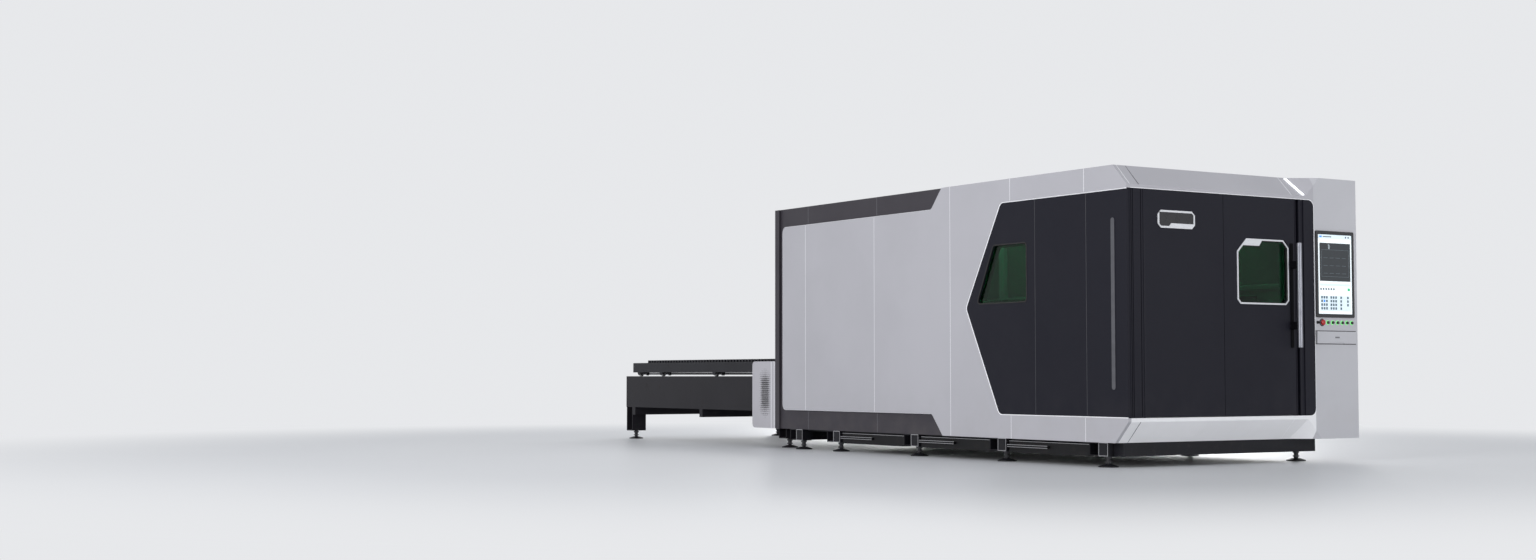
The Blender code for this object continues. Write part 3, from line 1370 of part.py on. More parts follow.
def build_base_and_table():
    base_frame()
    for index in range(SLAG_COUNT):
        slag_drawer(index)
    table_frame()
    drive_covers()
    pallet("upper_pallet", PALLET_FRONT, RAIL_TOP)
    wheelsets("upper", PALLET_FRONT, RAIL_TOP)
    pallet("lower_pallet", PALLET_FRONT - PALLET_TRAVEL, LOWER_RAIL)
    wheelsets("lower", PALLET_FRONT - PALLET_TRAVEL, LOWER_RAIL)


def build_mechanism():
    for make in (machine_bed, guide_rails, gantry_beam, head_carriage, cutting_head):
        make()


clear_scene()
build_enclosure()
build_door()
build_console()
build_base_and_table()
build_mechanism()
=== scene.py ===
# %% [markdown]
# # Dressing a laser cutting machine
#
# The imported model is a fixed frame: its solids already have the right shape, size and place. This
# lesson gives each of them a worked-out finish, and adds the small forms that a cutting machine
# has and that are too fine for the solids: trims, threads, screws, tiles on the screen and the
# full row of serrated slats. Every new shape is a surface on a grid, worked out with numpy.

# %% Load the frame
import bpy
import bmesh
import math
import mathutils
import numpy as np
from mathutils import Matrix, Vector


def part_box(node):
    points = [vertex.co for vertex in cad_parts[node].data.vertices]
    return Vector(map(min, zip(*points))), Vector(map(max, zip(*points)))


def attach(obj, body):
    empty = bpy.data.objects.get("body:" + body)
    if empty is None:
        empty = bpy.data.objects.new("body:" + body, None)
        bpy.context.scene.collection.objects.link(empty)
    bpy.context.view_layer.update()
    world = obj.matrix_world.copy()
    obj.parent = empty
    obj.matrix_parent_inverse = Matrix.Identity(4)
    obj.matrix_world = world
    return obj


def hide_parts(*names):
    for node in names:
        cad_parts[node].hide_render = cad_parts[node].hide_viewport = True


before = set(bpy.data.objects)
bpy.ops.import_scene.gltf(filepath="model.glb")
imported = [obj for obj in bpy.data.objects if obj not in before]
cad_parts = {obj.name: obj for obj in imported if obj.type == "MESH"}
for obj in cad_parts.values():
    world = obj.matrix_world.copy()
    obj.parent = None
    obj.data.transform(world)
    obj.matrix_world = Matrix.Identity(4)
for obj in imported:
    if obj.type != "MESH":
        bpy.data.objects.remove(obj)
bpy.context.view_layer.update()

# %% [markdown]
# ## Where things are
#
# The frame's origin is the middle of the footprint, which is a poor place to measure a machine
# from. A fitter measures from the corner of the house: x runs along the door end from the long
# left side, y runs back towards the exchange table, z is the height over the floor. One corner is
# read from the solids, and every shape below is written from it.

# %% The corner that everything is measured from
CORNER = np.array([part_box("left_cladding")[0][0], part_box("fascia_top")[0][1], 0.0])
HOUSE_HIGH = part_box("roof_panel")[1][2]
print("corner of the house:", np.round(CORNER, 4).tolist(), "height:", round(HOUSE_HIGH, 3))


def local(node):
    """Low and high corner of a solid, measured from the corner of the house."""
    low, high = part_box(node)
    return np.array(low) - CORNER, np.array(high) - CORNER


def middle(node):
    """Middle of a solid, measured from the corner of the house."""
    low, high = local(node)
    return (low + high) / 2


# %% [markdown]
# ## Surfaces as arrays
#
# A grid of points has rows and columns, and its faces are the little squares between them. If the
# rows or columns close, the last one joins the first. The faces are numbered with whole arrays, so
# a thousand screws cost no more thought than one.

# %% Grids into meshes
def grid_faces(rows, columns, close_rows=False, close_columns=False):
    """Four-sided faces of a grid: corner (i, j), its neighbour in the column, the opposite one and
    its neighbour in the row, with indices that wrap round where the grid closes."""
    i = np.arange(rows if close_rows else rows - 1)[:, None]
    j = np.arange(columns if close_columns else columns - 1)[None, :]
    down = (i + 1) % rows
    along = (j + 1) % columns
    faces = np.stack([i * columns + j, i * columns + along, down * columns + along, down * columns + j], -1)
    return faces.reshape(-1, 4).tolist()


def closed_ring(rows, columns):
    """Faces of a grid that closes both ways."""
    return grid_faces(rows, columns, close_rows=True, close_columns=True)


def capped(rows, columns, flip=False):
    """Faces of a closed form: a grid whose columns close, with one more face over its first row and
    one over its last. flip turns those two round."""
    first = list(range(columns))
    last = [(rows - 1) * columns + k for k in first]
    ends = [first, last[::-1]] if flip else [first[::-1], last]
    return grid_faces(rows, columns, close_columns=True) + ends


def by_size(faces):
    """The faces as whole arrays, one for each count of corners."""
    sizes = sorted({len(face) for face in faces})
    return [np.array([face for face in faces if len(face) == size]) for size in sizes]


def copies(points, faces, places):
    """The same mesh at many places: the points are added to each place, and each copy's face
    numbers grow by the count of points."""
    places = np.asarray(places, float)
    many = (places[:, None, :] + points[None, :, :]).reshape(-1, 3)
    step = (np.arange(len(places)) * len(points))[:, None, None]
    moved = [(step + group[None, :, :]).reshape(-1, group.shape[1]).tolist() for group in by_size(faces)]
    return many, sum(moved, [])


def joined(*parts):
    """Several meshes as one: their points in a row, with the face numbers moved up."""
    points, faces, count = [], [], 0
    for some_points, some_faces in parts:
        points.append(some_points)
        faces += sum([(group + count).tolist() for group in by_size(some_faces)], [])
        count += len(some_points)
    return np.concatenate(points), faces


def placed(name, data):
    """A new object of the scene."""
    obj = bpy.data.objects.new(name, data)
    bpy.context.scene.collection.objects.link(obj)
    return obj


def make(name, form, material, body="root", smooth=False):
    """A piece from points and faces. Its place goes into its mesh, the faces of the closed form are
    turned to point outwards, and it rides on a body of the frame."""
    points, faces = form
    mesh = bpy.data.meshes.new(name)
    mesh.from_pydata((np.asarray(points) + CORNER).tolist(), [], faces)
    mesh.polygons.foreach_set("use_smooth", np.full(len(mesh.polygons), smooth))
    mesh.update()
    work = bmesh.new()
    work.from_mesh(mesh)
    bmesh.ops.recalc_face_normals(work, faces=work.faces)
    work.to_mesh(mesh)
    work.free()
    mesh.materials.append(material)
    obj = placed(name, mesh)
    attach(obj, body)
    print(f"{name}: {len(mesh.polygons)} faces on {body}")
    return obj


# %% [markdown]
# ## Three ways to make a form
#
# Almost every small form here is one of three: a profile turned round an axis, a flat outline with
# a thickness and eased edges, or a profile carried round an outline with mitred corners, as a
# joiner does with a picture frame.

# %% Turned, plated and mitred forms
def around(radius, angle, height):
    """Points on circles, row by row: x = r cos a, y = r sin a, z = height."""
    parts = np.broadcast_arrays(radius * np.cos(angle), radius * np.sin(angle), height)
    return np.stack(parts, -1).reshape(-1, 3)


def turned(profile, sides, axis="Z", ring=False):
    """Radius and height pairs turned round an axis. The first and the last row are closed with a
    face, or meet each other if the form is a ring."""
    profile = np.asarray(profile, float)
    angle = np.linspace(0.0, 2.0 * np.pi, sides, endpoint=False)
    faces = closed_ring(len(profile), sides) if ring else capped(len(profile), sides)
    order = {"Z": (0, 1, 2), "Y": (0, 2, 1), "X": (2, 1, 0)}[axis]
    return around(profile[:, :1], angle, profile[:, 1:])[:, order], faces


def mitres(outline, closed=True):
    """Direction at each corner of a flat outline along which an offset keeps its distance from both
    edges: the sum of the two edge normals over one plus their dot product. At the two ends of an
    open line it is the plain normal."""
    outline = np.asarray(outline, float)
    edge = np.roll(outline, -1, 0) - outline
    edge /= np.linalg.norm(edge, axis=1)[:, None]
    normal = np.stack([edge[:, 1], -edge[:, 0]], -1)
    before = np.roll(normal, 1, 0)
    if not closed:
        before[0], normal[-1] = normal[0], normal[-2]
    return (normal + before) / (1.0 + (normal * before).sum(1))[:, None]


def standing(flat, height, plane):
    """Flat points and a height over them, stood up in a plane: X for the long side, Y for the door
    end, Z for level."""
    flat = np.asarray(flat, float)
    height = np.broadcast_to(height, flat.shape[:-1])
    u, v = flat[..., 0], flat[..., 1]
    parts = {"X": (height, u, v), "Y": (u, height, v), "Z": (u, v, height)}[plane]
    return np.stack(parts, -1).reshape(-1, 3)


def trim(outline, profile, plane, closed=True):
    """A profile of (offset outwards, height) pairs carried round an outline with mitred corners:
    point = corner + offset times mitre, at that height. Along an open line, each end is closed with
    a face."""
    outline, profile = np.asarray(outline, float), np.asarray(profile, float)
    flat = outline[:, None, :] + profile[None, :, :1] * mitres(outline, closed)[:, None, :]
    rows, columns = len(outline), len(profile)
    faces = closed_ring(rows, columns) if closed else capped(rows, columns, flip=True)
    return standing(flat, profile[None, :, 1], plane), faces


EASE = 0.0008


def plate(outline, low, high, ease, plane):
    """An outline with a thickness whose front edge is eased: four rings, the last two drawn in by
    the ease, closed with a face at each end."""
    outline = np.asarray(outline, float)
    lift = math.copysign(ease, high - low)
    steps = np.array([[0.0, low], [0.0, high - lift], [-0.3 * ease, high - 0.3 * lift], [-ease, high]])
    flat = outline[:, None, :] + steps[None, :, :1] * mitres(outline)[:, None, :]
    points = standing(flat, steps[None, :, 1], plane)
    rows = range(len(outline))
    ends = [[4 * k for k in rows], [4 * k + 3 for k in reversed(rows)]]
    return points, grid_faces(len(outline), 4, close_rows=True) + ends


def rounded(corners, radii, steps=5):
    """An outline whose corners are arcs: each is a blend of its two tangent points and the corner,
    a quadratic curve, which is close to an arc at these sizes."""
    corners = np.asarray(corners, float)
    radii = np.broadcast_to(radii, len(corners))[:, None]
    back = np.roll(corners, 1, 0) - corners
    ahead = np.roll(corners, -1, 0) - corners
    back /= np.linalg.norm(back, axis=1)[:, None]
    ahead /= np.linalg.norm(ahead, axis=1)[:, None]
    tangent = radii / np.tan(0.5 * np.arccos(np.clip((back * ahead).sum(1), -0.999, 0.999)))[:, None]
    start, end = corners + tangent * back, corners + tangent * ahead
    t = np.linspace(0.0, 1.0, steps)[None, :, None]
    arc = (1 - t) ** 2 * start[:, None] + 2 * t * (1 - t) * corners[:, None] + t ** 2 * end[:, None]
    return arc.reshape(-1, 2)


def rectangle(u_low, v_low, u_high, v_high):
    """The four corners of a rectangle."""
    return [(u_low, v_low), (u_high, v_low), (u_high, v_high), (u_low, v_high)]


def oblong(u_low, v_low, u_high, v_high, radii, steps=3):
    """A rectangle with rounded corners."""
    return rounded(rectangle(u_low, v_low, u_high, v_high), radii, steps)


TABLE_MIDDLE = 1.09


def mirror(form):
    """The mirror image of a form across the middle of the table."""
    return form[0] * [-1.0, 1.0, 1.0] + [2.0 * TABLE_MIDDLE, 0.0, 0.0], form[1]


print("forms ready: turned, trim, plate, rounded")

# %% [markdown]
# ## Camera, floor and light
#
# The camera stands low, about fourteen metres from the near corner, with a lens that keeps the long
# side from shrinking too fast. The floor is a disc that fades into the colour of the world, so no
# horizon cuts the picture. Light comes from broad panels, as in a photo studio: a key on the long
# side, a fill on the door end, a soft top light for the edges and one more for the far sides.

# %% Camera
CAMERA_PLACE = np.array([-9.487, -10.218, 0.671])
YAW, PITCH = 0.5623, 0.0498
LENS, SENSOR = 44.77, 36.0
BACKDROP = (0.8, 0.81, 0.83, 1.0)

camera_data = bpy.data.cameras.new("studio_camera")
camera_data.lens = LENS
camera_data.sensor_width = SENSOR
camera = placed("studio_camera", camera_data)
camera.location = (CAMERA_PLACE + CORNER).tolist()
camera.rotation_euler = (math.pi / 2 + PITCH, 0.0, -YAW)
bpy.context.scene.camera = camera
bpy.context.scene.view_settings.view_transform = "Standard"
print("camera at", np.round(CAMERA_PLACE + CORNER, 3).tolist())


# %% A short way to write node trees
SOCKET = bpy.types.NodeSocket


def empty_tree(owner):
    """The node tree of a world or material, without the nodes that it starts with."""
    owner.use_nodes = True
    owner.node_tree.nodes.clear()
    return owner.node_tree


def feed(node, inputs):
    """Feeds the inputs of a node: a socket is linked into its input, and any other value is set."""
    for key, value in inputs.items():
        if isinstance(value, SOCKET):
            node.id_data.links.new(value, node.inputs[key])
        else:
            node.inputs[key].default_value = value


def add(near, kind, inputs=None, **settings):
    """Adds a shader node to a tree, or to the tree of a node or socket, and feeds its inputs."""
    made = near.id_data.nodes.new("ShaderNode" + kind)
    for key, value in settings.items():
        setattr(made, key, value)
    feed(made, inputs or {})
    return made


def level(value, low, high, to_low=0.0, to_high=1.0):
    """A value between low and high, moved smoothly to run from to_low to to_high."""
    return add(value, "MapRange", {0: value, 1: low, 2: high, 3: to_low, 4: to_high},
               interpolation_type="SMOOTHSTEP").outputs[0]


def maths(operation, a, b=0.0):
    """One sum of two values, of which at least one is a socket."""
    return add(a if isinstance(a, SOCKET) else b, "Math", {0: a, 1: b}, operation=operation).outputs[0]


def times(a, b):
    """The product of two values."""
    return maths("MULTIPLY", a, b)


def blended(factor, a, b, mode="MIX"):
    """Two colours mixed by a factor."""
    near = factor if isinstance(factor, SOCKET) else a
    return add(near, "Mix", {0: factor, 6: a, 7: b}, data_type="RGBA", blend_type=mode).outputs[2]


# %% World, floor and lamps
world = bpy.data.worlds.new("studio")
bpy.context.scene.world = world
tree = empty_tree(world)
path = add(tree, "LightPath")
seen = maths("MAXIMUM", path.outputs["Is Camera Ray"],
             maths("MAXIMUM", path.outputs["Is Glossy Ray"], path.outputs["Is Transmission Ray"]))
plain = add(tree, "Background", {"Color": (0.9, 0.94, 1.0, 1.0), "Strength": 0.42})
shown = add(tree, "Background", {"Color": BACKDROP, "Strength": 1.0})
sky = add(tree, "MixShader", {0: seen, 1: plain.outputs[0], 2: shown.outputs[0]})
add(tree, "OutputWorld", {0: sky.outputs[0]})

FLOOR_RADII = [0.0001, 4.0, 8.0, 14.0, 22.0, 34.0, 46.0, 60.0]
FLOOR_SIDES = 96
FADE_START, FADE_END = 5.5, 10.5
disc = turned([(radius, 0.0) for radius in FLOOR_RADII], FLOOR_SIDES)[0]
floor_mesh = bpy.data.meshes.new("studio_floor")
floor_mesh.from_pydata(disc.tolist(), [], grid_faces(len(FLOOR_RADII), FLOOR_SIDES, close_columns=True))
floor = placed("studio_floor", floor_mesh)
paint = bpy.data.materials.new("studio_floor_paint")
tree = empty_tree(paint)
place = add(tree, "TexCoord").outputs["Object"]
away = add(tree, "VectorMath", {0: place}, operation="LENGTH").outputs["Value"]
cloud = add(place, "TexNoise", {"Vector": place, "Scale": 0.7, "Detail": 5.0}).outputs["Fac"]
grey = blended(cloud, (0.72, 0.73, 0.75, 1.0), (0.75, 0.76, 0.78, 1.0))
solid = add(tree, "BsdfPrincipled", {"Base Color": grey, "Roughness": 0.42})
far = add(tree, "Emission", {"Color": BACKDROP, "Strength": 1.0})
mixed = add(tree, "MixShader", {0: level(away, FADE_START, FADE_END), 1: solid.outputs[0], 2: far.outputs[0]})
add(tree, "OutputMaterial", {0: mixed.outputs[0]})
floor_mesh.materials.append(paint)

LAMPS = {"key_panel": ((-18.0, -2.0, 4.5), (0.0, 2.6, 1.0), 10.0, 2150.0),
         "door_panel": ((3.5, -17.0, 1.4), (1.2, 0.0, 0.9), 8.0, 1500.0),
         "top_panel": ((1.0, 3.0, 14.0), (1.0, 3.0, 0.0), 14.0, 260.0),
         "rear_panel": ((15.0, 19.0, 6.0), (1.0, 4.0, 1.0), 10.0, 1300.0)}
for name, (stand, target, width, watts) in LAMPS.items():
    lamp = bpy.data.lights.new(name, "AREA")
    lamp.size = width
    lamp.energy = watts
    holder = placed(name, lamp)
    stand, target = np.array(stand) + CORNER, np.array(target) + CORNER
    holder.location = stand.tolist()
    holder.rotation_euler = mathutils.Vector((target - stand).tolist()).to_track_quat("-Z", "Y").to_euler()
print("lamps:", list(LAMPS))

# %% [markdown]
# ## Powder coat
#
# Sheet metal on such a machine is powder coated. Baked powder isn't smooth: it has a fine orange
# peel of about a millimetre, tone that wanders slightly over metres, hands and cloths leave it
# glossier in patches, and shop dust settles low down. Each of those is one noise at its own scale,
# and the shader's own sockets keep what is the same everywhere.

# %% Painted finishes
def start(name):
    """A new material with its shader and its object coordinates."""
    material = bpy.data.materials.new(name)
    tree = empty_tree(material)
    shader = add(tree, "BsdfPrincipled")
    add(tree, "OutputMaterial", {0: shader.outputs[0]})
    print("finish", name)
    return material, shader, add(tree, "TexCoord").outputs["Object"]


def shade(colour, factor):
    """A colour made darker or lighter, with its alpha."""
    return tuple(min(1.0, factor * c) for c in colour) + (1.0,)


def noise(place, scale, detail=3.0, rough=0.55):
    """A cloud value at a scale in cycles per metre."""
    inputs = {"Vector": place, "Scale": scale, "Detail": detail, "Roughness": rough}
    return add(place, "TexNoise", inputs).outputs["Fac"]


def bumped(shader, height, strength, distance):
    """Lifts a surface by a height value, on top of the bump that it has."""
    inputs = {"Strength": strength, "Distance": distance, "Height": height}
    if shader.inputs["Normal"].is_linked:
        inputs["Normal"] = shader.inputs["Normal"].links[0].from_socket
    feed(shader, {"Normal": add(shader, "Bump", inputs).outputs[0]})


WELL_DUST = (0.36, 0.34, 0.31, 1.0)
SPARKLE = (0.55, 0.56, 0.6, 1.0)


def powder_coat(name, colour, gloss, peel=0.1, dust=0.1, sparkle=0.0, scuffs=0.05, shine=0.5):
    """Baked powder paint. colour is the plain colour; gloss is the roughness of a clean patch."""
    material, shader, place = start(name)
    light = shade(colour, 1.025)
    tone = blended(level(noise(place, 1.1, 4.0), 0.3, 0.7), shade(colour, 0.965), light)
    if sparkle:
        grains = level(noise(place, 520.0, 1.0), 0.66, 0.74)
        tone = blended(times(grains, sparkle), tone, SPARKLE)
    height = add(place, "SeparateXYZ", {0: place}).outputs[2]
    low_down = level(height, 0.1, 0.75, 1.0, 0.0)
    settled = times(low_down, level(noise(place, 7.0, 8.0), 0.35, 0.75))
    tone = blended(times(settled, dust), tone, WELL_DUST)
    lines = add(place, "Mapping", {"Vector": place, "Scale": (9.0, 1.2, 60.0), "Rotation": (0.2, 0.1, 0.4)})
    scuffed = level(noise(lines.outputs[0], 5.0, 4.0, 0.7), 0.64, 0.72)
    wiped = maths("ADD", level(noise(place, 3.0, 6.0), 0.3, 0.7, gloss, gloss + 0.12), times(settled, 0.25))
    feed(shader, {"Base Color": blended(times(scuffed, scuffs), tone, light),
                  "Roughness": maths("ADD", wiped, times(scuffed, 0.08)), "Specular IOR Level": shine})
    bumped(shader, noise(place, 650.0, 2.0), peel, 0.0006)
    return material


light_coat = powder_coat("light_powder_coat", (0.43, 0.425, 0.458), 0.36)
console_coat = powder_coat("console_powder_coat", (0.5, 0.5, 0.53), 0.34)
lining_coat = powder_coat("lining_coat", (0.15, 0.155, 0.155), 0.5, dust=0.05)
# Painted shadow: a dull, near-black paint for the plate and blocks that stand where the door handle's shadow
# falls.
handle_shadow_black = powder_coat("handle_shadow_black", (0.0035, 0.0035, 0.005), 0.55, dust=0.0, shine=0.05)
# Painted light: the lower fascia is the same sheet as the upper one, given a far lighter copy of its paint so
# that its downward-facing slope shows brightly lit.
painted_light_fascia_coat = powder_coat("painted_light_lower_fascia_coat", (0.83, 0.83, 0.85), 0.34, dust=0.04)
dark_coat = powder_coat("dark_powder_coat", (0.0105, 0.0105, 0.017), 0.42, sparkle=0.02, dust=0.03,
                        shine=0.13)
border_coat = powder_coat("border_powder_coat", (0.04, 0.036, 0.044), 0.42, sparkle=0.04, dust=0.08,
                          shine=0.25)

GRIME, RUBBED = (0.07, 0.062, 0.055, 1.0), (0.3, 0.29, 0.28, 1.0)


def frame_paint(name, colour, wear, shine=0.16):
    """Brushed machine paint on welded steel: runs and weld spatter show as lumps of a centimetre,
    and the paint is rubbed thin to the metal on patches where things knock against it."""
    material, shader, place = start(name)
    tone = blended(noise(place, 2.5, 6.0), shade(colour, 0.7), shade(colour, 1.4))
    grime = level(noise(place, 14.0, 8.0, 0.7), 0.52, 0.74)
    tone = blended(times(grime, 0.22), tone, GRIME)
    rubbed = times(level(noise(place, 26.0, 9.0, 0.75), 0.7, 0.74), wear)
    gloss = maths("ADD", level(grime, 0.0, 1.0, 0.42, 0.66), times(rubbed, -0.15))
    feed(shader, {"Base Color": blended(rubbed, tone, RUBBED), "Roughness": gloss, "Specular IOR Level": shine})
    lumps = maths("ADD", noise(place, 90.0, 4.0), level(noise(place, 300.0), 0.72, 0.8))
    bumped(shader, lumps, 0.22, 0.0012)
    return material


frame_black = frame_paint("frame_paint", (0.01, 0.01, 0.013), 0.35)
table_paint = frame_paint("table_paint", (0.013, 0.012, 0.0155), 0.25)
pallet_black = frame_paint("pallet_paint", (0.016, 0.016, 0.02), 0.6)
tray_paint = frame_paint("tray_paint", (0.007, 0.007, 0.008), 0.45)
bed_paint = frame_paint("bed_paint", (0.03, 0.031, 0.036), 0.5)

# %% [markdown]
# ## Metals, glass, plastic and light
#
# Brushed steel is a noise stretched along the brushing. Ground rails are finer. The slats of a
# cutting table are another matter: the beam burns their tips blue and brown and leaves beads of
# slag. The viewing panes are filter glass, deep green because they stop the beam's infrared light.

# %% Metals
FINGER_MARKS = (0.2, 0.19, 0.18, 1.0)


def brushed(name, colour, gloss, stretch, metal=1.0, grain=0.35, smear=0.1):
    """Metal with a grain: noise on coordinates squeezed along one axis, for tone and bump."""
    material, shader, place = start(name)
    lines = add(place, "Mapping", {"Vector": place, "Scale": stretch}).outputs[0]
    streak = noise(lines, 4.0, 5.0, 0.6)
    tone = blended(level(streak, 0.3, 0.7), shade(colour, 1.0 - grain * 0.5), shade(colour, 1.0 + grain * 0.3))
    marks = level(noise(place, 11.0, 7.0, 0.65), 0.5, 0.75)
    patches = level(streak, 0.2, 0.8, gloss - 0.05, gloss + 0.08)
    feed(shader, {"Base Color": blended(times(marks, smear), tone, FINGER_MARKS),
                  "Roughness": maths("ADD", patches, times(marks, 0.12)), "Metallic": metal})
    bumped(shader, streak, 0.12, 0.0004)
    return material


UPRIGHT = (6.0, 6.0, 120.0)
SATIN = {"metal": 0.4, "grain": 0.08, "smear": 0.02}
silver = brushed("satin_silver", (0.68, 0.69, 0.72), 0.3, UPRIGHT, **SATIN)
badge_silver = brushed("badge_silver", (0.7, 0.71, 0.74), 0.28, (4.0, 4.0, 120.0), **SATIN)
handle_steel = brushed("handle_steel", (0.22, 0.225, 0.255), 0.38, UPRIGHT, metal=0.6, grain=0.1, smear=0.02)
ground_steel = brushed("ground_steel", (0.5, 0.51, 0.53), 0.26, (500.0, 4.0, 500.0), smear=0.25)
turned_steel = brushed("turned_steel", (0.36, 0.36, 0.37), 0.36, (700.0, 30.0, 30.0), smear=0.35)
# Painted highlight: a near-white, non-metal finish for the edges, folds and seam beads of the light sheets,
# standing for the light that their bent edges catch.
painted_highlight_edge = brushed("painted_highlight_fold", (0.93, 0.93, 0.96), 0.3, (30.0,) * 3, metal=0.0, grain=0.06, smear=0.02)
# Painted highlights for the seam beads on the dark panel and the dark border: a few times lighter than their
# paint.
seam_highlight_steel = brushed("seam_highlight_edge", (0.045, 0.045, 0.052), 0.36, (40.0,) * 3, metal=0.4)
border_seam_highlight_steel = brushed("border_seam_highlight_edge", (0.17, 0.17, 0.19), 0.36, (40.0,) * 3, metal=0.4)
worn_edge = brushed("worn_edge", (0.46, 0.46, 0.48), 0.38, (60.0,) * 3, metal=0.4, smear=0.12)
zinc = brushed("zinc_screw", (0.55, 0.56, 0.58), 0.32, (60.0,) * 3)
black_zinc = brushed("black_zinc", (0.055, 0.055, 0.06), 0.38, (80.0,) * 3, metal=0.8)
copper = brushed("copper_nozzle", (0.8, 0.42, 0.25), 0.25, (300.0,) * 3)

SCALE_DARK, SCALE_LIGHT = (0.06, 0.06, 0.065, 1.0), (0.22, 0.215, 0.215, 1.0)
HEAT_BLUE, HEAT_BROWN, SLAG = (0.06, 0.07, 0.13, 1.0), (0.17, 0.1, 0.05, 1.0), (0.05, 0.045, 0.04, 1.0)


def burnt_steel(name):
    """Slat steel: grey mill scale with bands of heat tint towards the burnt tips, and slag beads as
    a thresholded noise that also lifts the surface."""
    material, shader, place = start(name)
    scale = blended(noise(place, 24.0, 8.0, 0.7), SCALE_DARK, SCALE_LIGHT)
    tint = level(noise(place, 6.0, 5.0, 0.6), 0.42, 0.66)
    heat = blended(noise(place, 40.0, 3.0), HEAT_BLUE, HEAT_BROWN)
    tone = blended(times(tint, 0.65), scale, heat)
    beads = level(noise(place, 210.0, 3.0), 0.66, 0.74)
    feed(shader, {"Base Color": blended(times(beads, 0.7), tone, SLAG),
                  "Roughness": level(beads, 0.0, 1.0, 0.45, 0.78), "Metallic": 0.7})
    bumped(shader, maths("ADD", beads, noise(place, 60.0, 5.0)), 0.4, 0.002)
    return material


slat_steel = burnt_steel("burnt_slat_steel")


# %% Plastic, rubber, glass and lamps
def plastic(name, colour, gloss, grain, depth, glow=None, strength=0.0):
    """Moulded plastic: a spark-eroded grain as fine bump, and tone and gloss that vary where it is
    touched. A lit one adds light of its own."""
    material, shader, place = start(name)
    touched = level(noise(place, 16.0, 5.0), 0.35, 0.7)
    feed(shader, {"Base Color": blended(touched, shade(colour, 0.9), shade(colour, 1.08)),
                  "Roughness": level(touched, 0.0, 1.0, gloss + 0.05, gloss - 0.05)})
    bumped(shader, noise(place, grain, 2.0), depth, 0.0004)
    if glow:
        feed(shader, {"Emission Color": glow + (1.0,), "Emission Strength": strength})
    return material


GLASS_DEEP, GLASS_HAZY = (0.06, 0.4, 0.165, 1.0), (0.08, 0.44, 0.19, 1.0)


def filter_glass(name):
    """Laser filter pane: clear deep green glass with a faint haze of spatter and wiping marks in its
    roughness."""
    material, shader, place = start(name)
    haze = level(noise(place, 8.0, 8.0, 0.7), 0.45, 0.8)
    specks = level(noise(place, 160.0, 2.0), 0.72, 0.78)
    gloss = maths("ADD", level(haze, 0.0, 1.0, 0.03, 0.1), times(specks, 0.3))
    feed(shader, {"Base Color": blended(haze, GLASS_DEEP, GLASS_HAZY), "Roughness": gloss,
                  "Transmission Weight": 1.0, "Specular IOR Level": 0.1, "IOR": 1.25})
    return material


green_glass = filter_glass("green_filter_glass")
black_plastic = plastic("black_moulding", (0.014, 0.014, 0.016), 0.42, 900.0, 0.25)
rubber = plastic("black_rubber", (0.01, 0.01, 0.01), 0.7, 500.0, 0.3)
red_plastic = plastic("stop_red", (0.42, 0.01, 0.01), 0.25, 700.0, 0.05)
green_lens = plastic("button_green", (0.12, 0.55, 0.14), 0.22, 700.0, 0.05, (0.16, 0.8, 0.18), 1.1)
strip_lens = plastic("strip_lens", (0.075, 0.076, 0.088), 0.35, 400.0, 0.1)
lamp_lens = plastic("lamp_lens", (0.9, 0.92, 0.95), 0.3, 400.0, 0.05, (0.95, 0.97, 1.0), 1.1)
cabin_lens = plastic("cabin_lamp_lens", (0.9, 0.92, 0.92), 0.4, 400.0, 0.05, (0.86, 1.0, 0.92), 11.0)
screen_glass = plastic("screen_glass", (0.01, 0.012, 0.016), 0.08, 300.0, 0.01)
blank_label = plastic("blank_label", (0.17, 0.17, 0.185), 0.4, 600.0, 0.1)
badge_dark = plastic("badge_field", (0.01, 0.01, 0.013), 0.3, 900.0, 0.08)
button_black = plastic("button_black", (0.016, 0.017, 0.018), 0.3, 800.0, 0.06)

# %% [markdown]
# ## Dressing the solids
#
# The solids keep their meshes. Only the material slots change, one finish for each group of
# nodes. The covers over the pallet drive are perforated: next to the real vent holes the sheet has
# rows of small punched ones. They are far too many to cut, so the finish draws them, as a
# staggered lattice whose dots sink into the bump as well as into the colour.

# %% Finish for every solid
def dress(material, names):
    """Puts one finish into the material slots of these solids."""
    for name in names.split():
        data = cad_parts[name].data
        if not data.materials:
            data.materials.append(material)
        for index in range(len(data.materials)):
            data.materials[index] = material


HOLE_DARK = (0.02, 0.02, 0.02, 1.0)


def punch(material, centre, half, pitch, hole):
    """Staggered rows of dots in a long hexagon of the y, z plane: the distance to the nearest
    lattice point is the length of the coordinates' remainder, every second row is moved by half a
    pitch, and the dots shrink from the middle of the patch to its edge."""
    shader = next(n for n in material.node_tree.nodes if n.type == "BSDF_PRINCIPLED")
    axes = add(shader, "SeparateXYZ", {0: add(shader, "TexCoord").outputs["Object"]})
    y, z = axes.outputs[1], axes.outputs[2]
    row = maths("DIVIDE", z, pitch)
    moved = maths("ADD", maths("DIVIDE", y, pitch), times(maths("FLOOR", row), 0.5))
    across = maths("SUBTRACT", maths("FRACT", moved), 0.5)
    up = maths("SUBTRACT", maths("FRACT", row), 0.5)
    away = maths("SQRT", maths("ADD", times(across, across), times(up, up)))
    side, end = [maths("ABSOLUTE", maths("DIVIDE", maths("SUBTRACT", value, centre[k]), half[k]))
                 for k, value in enumerate((y, z))]
    edge = maths("MAXIMUM", side, maths("ADD", end, times(side, 0.22)))
    reach = times(level(edge, 0.45, 1.0, 1.0, 0.35), hole / pitch)
    reach = times(reach, maths("LESS_THAN", edge, 1.0))
    dot = level(maths("SUBTRACT", reach, away), -0.02, 0.03)
    colour = shader.inputs["Base Color"].links[0].from_socket
    feed(shader, {"Base Color": blended(dot, colour, HOLE_DARK)})
    bumped(shader, maths("SUBTRACT", 1.0, dot), 0.6, 0.002)
    return material


